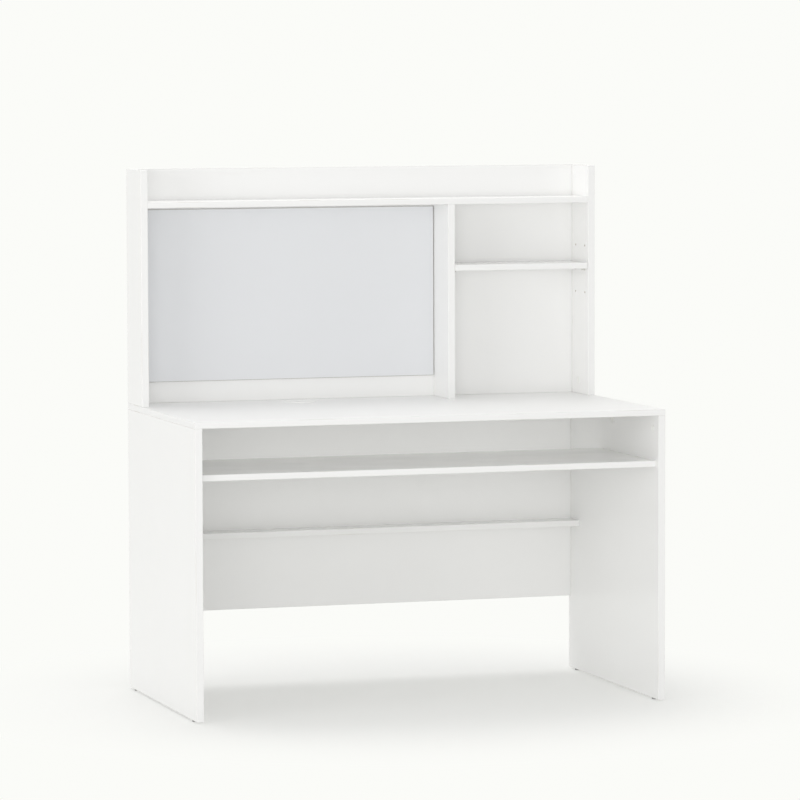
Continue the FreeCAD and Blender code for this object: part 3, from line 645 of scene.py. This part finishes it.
def set_out(pattern, name, node, stands, material, body="desk"):
    """Puts a copy of a fitting at each stand, as one piece that stands for the CAD node."""
    deselect()
    for matrix in stands:
        fitted = pattern.copy()
        fitted.data = pattern.data.copy()
        fitted.data.transform(matrix)
        bpy.context.collection.objects.link(fitted)
        fitted.select_set(True)
        bpy.context.view_layer.objects.active = fitted
    bpy.ops.object.join()
    piece = bpy.context.object
    piece.name = name
    piece.data.name = name
    piece.data.materials.clear()
    piece.data.materials.append(material)
    bpy.ops.object.shade_smooth_by_angle(angle=SHARP_ANGLE)
    evening = piece.modifiers.new("even shading", "WEIGHTED_NORMAL")
    evening.keep_sharp = True
    bpy.ops.object.modifier_apply(modifier=evening.name)
    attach(piece, body)
    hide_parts(node)


CAM_RIM = 1.4 * MM
CAM_DISH = 0.35 * MM
CAM_EASE = 0.25 * MM
CAM_SLOT_LENGTH = 9.0 * MM
CAM_SLOT_WIDTH = 1.8 * MM
CAM_SLOT_DEPTH = 2.0 * MM
CAM_SLOT_FOOT_SHARE = 0.92
CAM_SLOT_EASE = 0.12 * MM
CAM_FLOOR = 4.5 * MM
CAM_THROAT = 3.5 * MM
CAM_THROAT_SIDES = 32
CAM_ARROW = 1.1 * MM

# Node, the way its cams face and the way their throats point, or None where the side of the desk decides
CAM_WAYS = (
    ("side_panel_cams", None, UP),
    ("hutch_side_cams", None, DOWN),
    ("modesty_cams", BACK, None),
    ("hutch_back_cams", BACK, None),
    ("keyboard_shelf_cams", DOWN, None),
    ("ledge_cams", DOWN, None),
    ("hutch_shelf_cams", DOWN, None),
)


def model_cam(radius, depth):
    """A die-cast cam: a raised rim, a dished face with cross slot and arrow, and a throat for a bolt."""
    inner = radius - CAM_RIM
    cam = turn_profile([
        (0.0, -depth), (radius - CAM_EASE, -depth), (radius, CAM_EASE - depth), (radius, -CAM_EASE),
        (radius - CAM_EASE, 0.0), (inner, 0.0), (inner - CAM_DISH, -CAM_DISH), (0.0, -CAM_DISH),
    ])
    arrow_middle = inner - CAM_DISH - CAM_ARROW
    bpy.ops.mesh.primitive_cylinder_add(
        vertices=3, radius=CAM_ARROW, depth=2.0 * CAM_DISH, location=(arrow_middle, 0.0, -CAM_DISH),
        rotation=(0.0, 0.0, -QUARTER_TURN),
    )
    carve(cam, bpy.context.object, "UNION")
    slot = cross_plug(CAM_SLOT_LENGTH, CAM_SLOT_WIDTH, CAM_SLOT_DEPTH, CAM_SLOT_FOOT_SHARE, -CAM_DISH)
    slot.rotation_euler.z = QUARTER_TURN / 2
    carve(cam, slot)
    bpy.ops.mesh.primitive_cylinder_add(
        vertices=CAM_THROAT_SIDES, radius=CAM_THROAT, depth=2.0 * radius,
        location=(radius, 0.0, CAM_FLOOR - depth), rotation=(0.0, QUARTER_TURN, 0.0),
    )
    carve(cam, bpy.context.object)
    ease(cam, CAM_SLOT_EASE)
    close_up(cam)
    return cam


def fit_cams():
    """The cams in the side boards face the middle of the desk, and the others face back or down."""
    patterns = {}
    for node, node_facing, node_throat in CAM_WAYS:
        stands = []
        for box in solids_of(node):
            facing = node_facing or -outward(box)
            throat = node_throat or outward(box)
            depth = along(box, facing)
            radius = along(box, throat) / 2
            stands.append(stand(box, facing, throat))
        key = round(depth / MM)
        if key not in patterns:
            patterns[key] = model_cam(radius, depth)
        set_out(patterns[key], node + "_cast", node, stands, cast_zinc)
    for pattern in patterns.values():
        bpy.data.objects.remove(pattern)


CAP_EDGE_SHARE = 0.6
CAP_EDGE_SINK_SHARE = 1.1
CAP_EDGE_END = 80.0
CAP_GATE = 1.1 * MM
CAP_GATE_FLOOR_SHARE = 0.7
CAP_GATE_DEPTH = 0.15 * MM


def model_cover_cap(radius, thickness):
    """A moulded button over a cam: a rounded rim, a low crown and the dimple of its gate."""
    edge = CAP_EDGE_SHARE * thickness
    return turn_profile(
        [(0.0, -thickness), (radius, -thickness)]
        + rounded(radius - edge, -CAP_EDGE_SINK_SHARE * edge, edge, 0.0, CAP_EDGE_END)
        + [(CAP_GATE, 0.0), (CAP_GATE_FLOOR_SHARE * CAP_GATE, -CAP_GATE_DEPTH), (0.0, -CAP_GATE_DEPTH)]
    )


def fit_cover_caps():
    """The buttons over the cams of the side panels face the middle of the desk."""
    node = "cam_cover_caps"
    boxes = solids_of(node)
    stands = [stand(box, -outward(box), UP) for box in boxes]
    cap = model_cover_cap(along(boxes[0], UP) / 2, along(boxes[0], outward(boxes[0])))
    set_out(cap, "cam_cover_buttons", node, stands, white_plastic)
    bpy.data.objects.remove(cap)


# How far a thread's three-sided ridge stands out of its root, in radii of the ridge
THREAD_STANDOUT = 1.35
THREAD_STEPS = 24


def model_thread(root, crest, pitch, bottom, top):
    """A helical ridge from a root radius out to a crest, wound up Z from a bottom level to a top one."""
    ridge = (crest - root) / THREAD_STANDOUT
    deselect()
    bpy.ops.mesh.primitive_circle_add(
        vertices=3, radius=ridge, location=(crest - ridge, 0.0, bottom + ridge),
        rotation=(QUARTER_TURN, QUARTER_TURN, 0.0),
    )
    thread = bpy.context.object
    bpy.ops.object.transform_apply(location=True, rotation=True, scale=True)
    winding = thread.modifiers.new("winding", "SCREW")
    winding.axis = "Z"
    winding.angle = math.tau
    winding.screw_offset = pitch
    winding.iterations = max(1, int((top - bottom) / pitch))
    winding.steps = THREAD_STEPS
    winding.render_steps = THREAD_STEPS
    bpy.ops.object.modifier_apply(modifier=winding.name)
    edit(thread)
    bpy.ops.mesh.fill_holes(sides=3)
    close_up(thread)
    return thread


def join_pieces(piece, addition):
    """Makes an addition part of a piece."""
    take(piece)
    addition.select_set(True)
    bpy.ops.object.join()


SCREW_ROOT = 1.45 * MM
SCREW_TIP = 4.0 * MM
SCREW_PITCH = 1.8 * MM
SCREW_PLAIN = 1.5 * MM
SCREW_HEAD_EDGE = 0.25 * MM
SCREW_LIP_SHARE = 0.3
SCREW_ROUND_SHARE = 0.7
SCREW_RECESS_LENGTH = 4.4 * MM
SCREW_RECESS_WIDTH = 1.1 * MM
SCREW_RECESS_DEPTH = 1.4 * MM
SCREW_RECESS_FOOT_SHARE = 0.7
SCREW_EASE = 0.06 * MM


def model_screw(head, length):
    """A countersunk chipboard screw with a tapered cross recess and a coarse thread."""
    shank = head / 2
    neck = SCREW_HEAD_EDGE + head - SCREW_ROOT
    screw = turn_profile([
        (0.0, -length), (SCREW_ROOT, SCREW_TIP - length), (SCREW_ROOT, -neck), (head, -SCREW_HEAD_EDGE),
        (head, -SCREW_LIP_SHARE * SCREW_HEAD_EDGE), (head - SCREW_ROUND_SHARE * SCREW_HEAD_EDGE, 0.0),
        (0.0, 0.0),
    ])
    recess = cross_plug(
        SCREW_RECESS_LENGTH, SCREW_RECESS_WIDTH, SCREW_RECESS_DEPTH, SCREW_RECESS_FOOT_SHARE, 0.0,
    )
    carve(screw, recess)
    ease(screw, SCREW_EASE)
    close_up(screw)
    thread = model_thread(SCREW_ROOT, shank, SCREW_PITCH, SCREW_TIP - length, -neck - SCREW_PLAIN)
    join_pieces(screw, thread)
    return screw


def fit_screws():
    """Screws that go in from the back, and those that hold the divider from under the desk top."""
    for node, facing in (
        ("ledge_screws", BACK), ("hutch_back_screws", BACK), ("writing_board_screws", BACK),
        ("divider_screws", DOWN),
    ):
        boxes = solids_of(node)
        stands = [stand(box, facing, RIGHT) for box in boxes]
        screw = model_screw(along(boxes[0], RIGHT) / 2, along(boxes[0], facing))
        set_out(screw, node + "_threaded", node, stands, plated_steel)
        bpy.data.objects.remove(screw)


PIN_SPIGOT = 2.5 * MM
PIN_COLLAR = 4.5 * MM
PIN_COLLAR_LENGTH = 1.6 * MM
PIN_PEG = 3.0 * MM
PIN_PEG_LENGTH = 9.0 * MM
PIN_FLAT_RISE = 2.0 * MM
PIN_EASE = 0.4 * MM
PIN_GROOVE = 0.2 * MM
PIN_GROOVE_SHARES = (0.35, 0.55, 0.75)
PIN_FLAT_EASE = 0.15 * MM
PIN_UNDERCUT = 0.05 * MM


def model_shelf_pin(length):
    """A steel shelf pin: a grooved spigot, a collar and a peg with a flat for the shelf to lie on."""
    collar = -PIN_PEG_LENGTH
    seat = collar - PIN_COLLAR_LENGTH
    points = [(0.0, -length), (PIN_SPIGOT - PIN_EASE, -length), (PIN_SPIGOT, PIN_EASE - length)]
    for share in PIN_GROOVE_SHARES:
        level = -length + share * (seat + length)
        points += [(PIN_SPIGOT, level - PIN_EASE), (PIN_SPIGOT - PIN_GROOVE, level)]
        points += [(PIN_SPIGOT, level + PIN_EASE)]
    points += [(PIN_SPIGOT, seat), (PIN_COLLAR, seat), (PIN_COLLAR, collar), (PIN_PEG, collar)]
    points += rounded(PIN_PEG - PIN_EASE, -PIN_EASE, PIN_EASE, 0.0, 90.0) + [(0.0, 0.0)]
    pin = turn_profile(points)
    deselect()
    size = 2.0 * length
    start = seat - PIN_UNDERCUT
    over_flat = (PIN_FLAT_RISE + size / 2, 0.0, start + size / 2)
    bpy.ops.mesh.primitive_cube_add(size=size, location=over_flat)
    carve(pin, bpy.context.object)
    ease(pin, PIN_FLAT_EASE)
    close_up(pin)
    return pin


def fit_shelf_pins():
    """Each pin stands out of its board into the bay of the small shelf."""
    low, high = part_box("hutch_small_shelf")
    pattern = None
    for corner in CORNERS:
        node = "shelf_pin_" + corner
        pin_low, pin_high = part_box(node)
        pin_high.z = pin_low.z + 2.0 * PIN_COLLAR
        into_bay = Vector((math.copysign(1.0, low.x + high.x - pin_low.x - pin_high.x), 0.0, 0.0))
        pattern = pattern or model_shelf_pin(pin_high.x - pin_low.x)
        stands = [stand((pin_low, pin_high), into_bay, UP)]
        set_out(pattern, node + "_turned", node, stands, plated_steel)
    bpy.data.objects.remove(pattern)


GLIDE_EDGE = 1.0 * MM
GLIDE_TOP_EDGE = 0.4 * MM
GLIDE_NAIL = 1.5 * MM
GLIDE_NAIL_POINT = 3.0 * MM
GLIDE_PAD = 4.0 * MM
GLIDE_WELL = 2.6 * MM
GLIDE_WELL_DEPTH = 0.7 * MM
GLIDE_LIP = 0.4 * MM
GLIDE_LIP_DEPTH = 0.2 * MM


def model_glide(radius, height):
    """A nail-in floor glide: a soft-edged pad with the well of its nail, and the nail above it."""
    lip = GLIDE_WELL + GLIDE_LIP
    return turn_profile(
        [(0.0, -height), (GLIDE_NAIL, GLIDE_NAIL_POINT - height), (GLIDE_NAIL, -GLIDE_PAD)]
        + rounded(radius - GLIDE_TOP_EDGE, GLIDE_TOP_EDGE - GLIDE_PAD, GLIDE_TOP_EDGE, -90.0, 0.0)
        + rounded(radius - GLIDE_EDGE, -GLIDE_EDGE, GLIDE_EDGE, 0.0, 90.0)
        + [(lip, 0.0), (GLIDE_WELL, -GLIDE_LIP_DEPTH)]
        + [(GLIDE_WELL, -GLIDE_WELL_DEPTH), (0.0, -GLIDE_WELL_DEPTH)]
    )


def fit_glides():
    """Each glide's pad faces the floor."""
    pattern = None
    for corner in CORNERS:
        node = "glide_" + corner
        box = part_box(node)
        pattern = pattern or model_glide(along(box, BACK) / 2, along(box, UP))
        set_out(pattern, node + "_pad", node, [stand(box, DOWN, BACK)], glide_plastic)
    bpy.data.objects.remove(pattern)


GROMMET_FLANGE = 2.0 * MM
GROMMET_EDGE = 1.2 * MM
GROMMET_HOLE = 37.5 * MM
GROMMET_GAP = 0.3 * MM
GROMMET_WALL = 1.8 * MM
GROMMET_SEAT = 2.5 * MM
GROMMET_LEAD = 0.4 * MM
GROMMET_SKIRT = 8.0 * MM
GROMMET_DISH = 0.5 * MM
GROMMET_RIM_SHARE = 0.80
GROMMET_STEP_SHARE = 0.76
GROMMET_STEP_DROP = 0.4 * GROMMET_DISH
GROMMET_FLOOR_SHARE = 0.4
GROMMET_PLAY = 0.06 * MM
GROMMET_EASE = 0.25 * MM
BARB_SHARES = (0.75, 0.5, 0.25)
NOTCH_WIDTH = 16.0 * MM
NOTCH_DEPTH = 15.0 * MM
NOTCH_SIDES = 48
SLEEVE = GROMMET_HOLE - GROMMET_GAP
SEAT_RADIUS = SLEEVE - GROMMET_WALL
BORE = SEAT_RADIUS - GROMMET_SEAT
GROMMET_SIDES = 128


def model_grommet_sleeve(flange, height):
    """The sleeve: a soft flange on the desk top, a seat for the cap and a barbed tube in the hole."""
    barbs = []
    for share in BARB_SHARES:
        level = -height + share * (height - GROMMET_FLANGE)
        barb = [(SLEEVE, level - GROMMET_GAP), (SLEEVE + GROMMET_GAP / 2, level), (SLEEVE, level)]
        barbs = barb + barbs
    return turn_profile(
        [(BORE, -height), (SLEEVE - GROMMET_GAP, -height), (SLEEVE, GROMMET_GAP - height)]
        + barbs
        + [(SLEEVE, -GROMMET_FLANGE), (flange, -GROMMET_FLANGE)]
        + rounded(flange - GROMMET_EDGE, -GROMMET_EDGE, GROMMET_EDGE, 0.0, 90.0, steps=6)
        + [(SEAT_RADIUS + GROMMET_LEAD, 0.0), (SEAT_RADIUS, -GROMMET_LEAD)]
        + [(SEAT_RADIUS, -GROMMET_SEAT), (BORE, -GROMMET_SEAT), (BORE, -height)],
        GROMMET_SIDES,
    )


def model_grommet_cap():
    """The cap: a dished disc with a rounded rim, a skirt under it and a round-ended notch for cables."""
    rim = SEAT_RADIUS - GROMMET_GAP
    skirt = BORE - GROMMET_GAP
    under = GROMMET_PLAY - GROMMET_SEAT
    foot = under - GROMMET_SKIRT
    inner = skirt - GROMMET_WALL
    edge = GROMMET_LEAD
    cap = turn_profile(
        [(0.0, under), (inner, under), (inner, foot), (skirt, foot), (skirt, under), (rim, under)]
        + rounded(rim - edge, -edge, edge, 0.0, 90.0)
        + [(GROMMET_RIM_SHARE * rim, 0.0), (GROMMET_STEP_SHARE * rim, -GROMMET_STEP_DROP)]
        + [(GROMMET_FLOOR_SHARE * rim, -GROMMET_DISH), (0.0, -GROMMET_DISH)],
        GROMMET_SIDES,
    )
    deselect()
    bpy.ops.mesh.primitive_cylinder_add(
        vertices=NOTCH_SIDES, radius=NOTCH_WIDTH / 2, depth=4.0 * GROMMET_SKIRT,
        location=(rim - NOTCH_DEPTH + NOTCH_WIDTH / 2, 0.0, 0.0),
    )
    notch = bpy.context.object
    edit(notch)
    pick_faces(notch, lambda middle, normal: normal.x > LEANING_SHARE)
    pull((NOTCH_WIDTH, 0.0, 0.0))
    leave_edit()
    carve(cap, notch)
    ease(cap, GROMMET_EASE, segments=3)
    close_up(cap)
    return cap


def fit_grommet():
    """The sleeve stays with the desk, and the cap turns in it."""
    sleeve_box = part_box("grommet_sleeve")
    place = [stand(sleeve_box, UP, BACK)]
    sleeve = model_grommet_sleeve(along(sleeve_box, BACK) / 2, along(sleeve_box, UP))
    set_out(sleeve, "grommet_sleeve_moulded", "grommet_sleeve", place, grommet_plastic)
    cap = model_grommet_cap()
    set_out(cap, "grommet_cap_moulded", "grommet_cap", place, grommet_plastic, "grommet_lid")
    bpy.data.objects.remove(sleeve)
    bpy.data.objects.remove(cap)


DOWEL_FLUTES = 24
DOWEL_FLUTE_POINTS = 3
DOWEL_SIDES = DOWEL_FLUTE_POINTS * DOWEL_FLUTES
DOWEL_FLUTE_SHARE = 0.94
DOWEL_CHAMFER = 1.0 * MM


def model_dowel(radius, length):
    """A beech dowel with glue flutes along it and chamfered ends."""
    deselect()
    bpy.ops.mesh.primitive_cylinder_add(
        vertices=DOWEL_SIDES, radius=radius, depth=length, location=(0.0, 0.0, -length / 2),
    )
    dowel = bpy.context.object
    bpy.ops.object.transform_apply(location=True, rotation=True, scale=True)
    edit(dowel)
    bpy.ops.mesh.select_all(action="DESELECT")
    mesh = bmesh.from_edit_mesh(dowel.data)
    for point in mesh.verts:
        step = round(math.atan2(point.co.y, point.co.x) / math.tau * DOWEL_SIDES)
        point.select_set(step % DOWEL_FLUTE_POINTS == 0)
    bmesh.update_edit_mesh(dowel.data)
    bpy.ops.transform.resize(value=(DOWEL_FLUTE_SHARE, DOWEL_FLUTE_SHARE, 1.0))
    pick_faces(dowel, lambda middle, normal: abs(normal.z) > FACING_SHARE)
    bpy.ops.mesh.bevel(offset=DOWEL_CHAMFER, segments=1, affect="EDGES")
    close_up(dowel)
    return dowel


BOLT_THREAD = 10.0 * MM
BOLT_ROOT = 2.3 * MM
BOLT_CREST = 3.0 * MM
BOLT_PITCH = 2.0 * MM
BOLT_NECK = 2.0 * MM
BOLT_NECK_LENGTH = 5.0 * MM
BOLT_HEAD = 3.3 * MM
BOLT_HEAD_LENGTH = 3.4 * MM
BOLT_EASE = 0.3 * MM
BOLT_HEAD_EDGE = 3.0 * BOLT_EASE


def model_cam_bolt(shank, length):
    """A cam bolt: a round head on a thin neck, a collared shank and a coarse thread."""
    shoulder = BOLT_THREAD - length
    neck = -BOLT_HEAD_LENGTH - BOLT_NECK_LENGTH
    bolt = turn_profile(
        [(0.0, -length), (BOLT_ROOT - BOLT_EASE, -length), (BOLT_ROOT, BOLT_EASE - length)]
        + [(BOLT_ROOT, shoulder), (shank - BOLT_EASE, shoulder), (shank, shoulder + BOLT_EASE)]
        + [(shank, neck - BOLT_EASE), (shank - BOLT_EASE, neck), (BOLT_NECK, neck)]
        + [(BOLT_NECK, -BOLT_HEAD_LENGTH), (BOLT_HEAD - BOLT_EASE, -BOLT_HEAD_LENGTH)]
        + [(BOLT_HEAD, BOLT_EASE - BOLT_HEAD_LENGTH)]
        + rounded(BOLT_HEAD - BOLT_HEAD_EDGE, -BOLT_HEAD_EDGE, BOLT_HEAD_EDGE, 0.0, 90.0) + [(0.0, 0.0)],
    )
    thread = model_thread(BOLT_ROOT, BOLT_CREST, BOLT_PITCH, BOLT_EASE - length, shoulder - BOLT_PITCH)
    join_pieces(bolt, thread)
    return bolt


def fit_rods(node, name, model, material, upright):
    """Dowels or bolts inside the joints: upright ones face up or down, the others face the middle."""
    stands = []
    for box in solids_of(node):
        lying = along(box, outward(box)) > along(box, UP)
        facing = -outward(box) if lying else upright
        stands.append(stand(box, facing, BACK))
        width, length = along(box, BACK), along(box, facing)
    pattern = model(width / 2, length)
    set_out(pattern, name, node, stands, material)
    bpy.data.objects.remove(pattern)


fit_grommet()
fit_cover_caps()
fit_cams()
fit_screws()
fit_shelf_pins()
fit_glides()
fit_rods("desk_dowels", "desk_dowels_fluted", model_dowel, beech, UP)
fit_rods("hutch_dowels", "hutch_dowels_fluted", model_dowel, beech, UP)
fit_rods("desk_cam_bolts", "desk_cam_bolts_threaded", model_cam_bolt, plated_steel, DOWN)
fit_rods("hutch_cam_bolts", "hutch_cam_bolts_threaded", model_cam_bolt, plated_steel, UP)


# Floor, background and light

BACKGROUND = colour(0.965, 0.970, 0.940)
FLOOR_SIDE = 30.0
FLOOR_WHITE = colour(0.920, 0.922, 0.913)
SHADOW_REACH = 0.48
FADE_REACH = 1.15
SHADOW_THINNING = 0.30
DOME_LIGHT = 0.66
STUDIO_WHITE = (1.0, 0.998, 0.990)
WHITE_BOUNCES = 14


def seen_directly(shading):
    """1 for rays from the camera, off a mirror or through glass, and 0 for light that falls on things."""
    path = shading.add("ShaderNodeLightPath").outputs
    mirrored = shading.math("ADD", path["Is Camera Ray"], path["Is Glossy Ray"])
    through = shading.math("ADD", mirrored, path["Is Transmission Ray"])
    return shading.math("MINIMUM", through, 1.0)


def make_floor():
    """A pale floor that keeps the desk's shadow, fades into the background and is clear from below."""
    bpy.ops.mesh.primitive_plane_add(size=FLOOR_SIDE, location=(0.0, 0.0, 0.0))
    floor = bpy.context.object
    floor.name = "studio_floor"
    material = bpy.data.materials.new("studio floor")
    material.use_nodes = True
    shading = Shading(material.node_tree)
    away = shading.add("ShaderNodeVectorMath", {"Vector": shading.place()}, operation="LENGTH")
    spread = shading.ramp(away.outputs["Value"], SHADOW_REACH, FADE_REACH, SHADOW_THINNING, 1.0)
    fade = shading.math("MULTIPLY", spread, seen_directly(shading))
    matt = shading.add("ShaderNodeBsdfDiffuse", {"Color": FLOOR_WHITE}).outputs["BSDF"]
    glow = shading.add("ShaderNodeEmission", {"Color": BACKGROUND}).outputs["Emission"]
    clear = shading.add("ShaderNodeBsdfTransparent").outputs["BSDF"]
    from_below = shading.add("ShaderNodeNewGeometry").outputs["Backfacing"]
    upper_side = shading.mix_shaders(fade, matt, glow)
    both_sides = shading.mix_shaders(from_below, upper_side, clear)
    shading.add("ShaderNodeOutputMaterial", {"Surface": both_sides})
    floor.data.materials.append(material)


def make_world():
    """A dome of even light, which shows as the background where it is looked at."""
    world = bpy.data.worlds.new("studio")
    world.use_nodes = True
    bpy.context.scene.world = world
    shading = Shading(world.node_tree)
    dome = shading.add("ShaderNodeBackground", {"Color": colour(*STUDIO_WHITE), "Strength": DOME_LIGHT})
    backdrop = shading.add("ShaderNodeBackground", {"Color": BACKGROUND, "Strength": 1.0})
    seen = seen_directly(shading)
    mixed = shading.mix_shaders(seen, dome.outputs["Background"], backdrop.outputs["Background"])
    shading.add("ShaderNodeOutputWorld", {"Surface": mixed})


DESK_MIDDLE = Vector((0.0, 0.0, 0.7))

# Name, place, width, height and level of each lamp
SOFTBOXES = (
    ("back_softbox", (-0.45, 2.1, 5.65), 3.6, 3.6, 0.26),
    ("top_softbox", (-0.3, -0.5, 5.8), 3.6, 3.6, 0.12),
    ("front_softbox", (-3.6, -11.1, 1.15), 6.0, 3.0, 0.18),
    ("left_softbox", (-8.0, -4.2, 1.55), 4.0, 3.4, 0.16),
)


def make_softbox(name, place, width, height, level):
    """A rectangular lamp that lights a surface in the middle of the desk, square to it, to a level."""
    bpy.ops.object.light_add(type="AREA", location=place)
    lamp = bpy.context.object
    lamp.name = name
    lamp.data.shape = "RECTANGLE"
    lamp.data.color = STUDIO_WHITE
    lamp.data.size = width
    lamp.data.size_y = height
    beam = DESK_MIDDLE - lamp.location
    lamp.data.energy = level * (math.pi * beam.length) ** 2
    lamp.visible_camera = False
    lamp.rotation_euler = beam.to_track_quat("-Z", "Y").to_euler()


make_floor()
make_world()
for softbox in SOFTBOXES:
    make_softbox(*softbox)


# Camera, solved from the straight board edges

CAMERA_PLACE = (-3.3682, -10.6167, 1.5936)
CAMERA_YAW = math.radians(17.685)
CAMERA_PITCH = math.radians(4.380)
CAMERA_ROLL = math.radians(-0.167)
CAMERA_LENS = 201.6
CAMERA_SENSOR = 36.0
CAMERA_REACH = 100.0


def make_camera():
    bpy.ops.object.camera_add(location=CAMERA_PLACE)
    camera = bpy.context.object
    camera.name = "photo_camera"
    yaw = Euler((0.0, 0.0, -CAMERA_YAW)).to_matrix()
    pitch = Euler((QUARTER_TURN - CAMERA_PITCH, 0.0, 0.0)).to_matrix()
    roll = Euler((0.0, 0.0, CAMERA_ROLL)).to_matrix()
    camera.rotation_euler = (yaw @ pitch @ roll).to_euler()
    camera.data.lens = CAMERA_LENS
    camera.data.sensor_width = CAMERA_SENSOR
    camera.data.clip_end = CAMERA_REACH
    bpy.context.scene.camera = camera


make_camera()
bpy.context.scene.view_settings.view_transform = "Standard"
bpy.context.scene.cycles.max_bounces = WHITE_BOUNCES
bpy.context.scene.cycles.diffuse_bounces = WHITE_BOUNCES
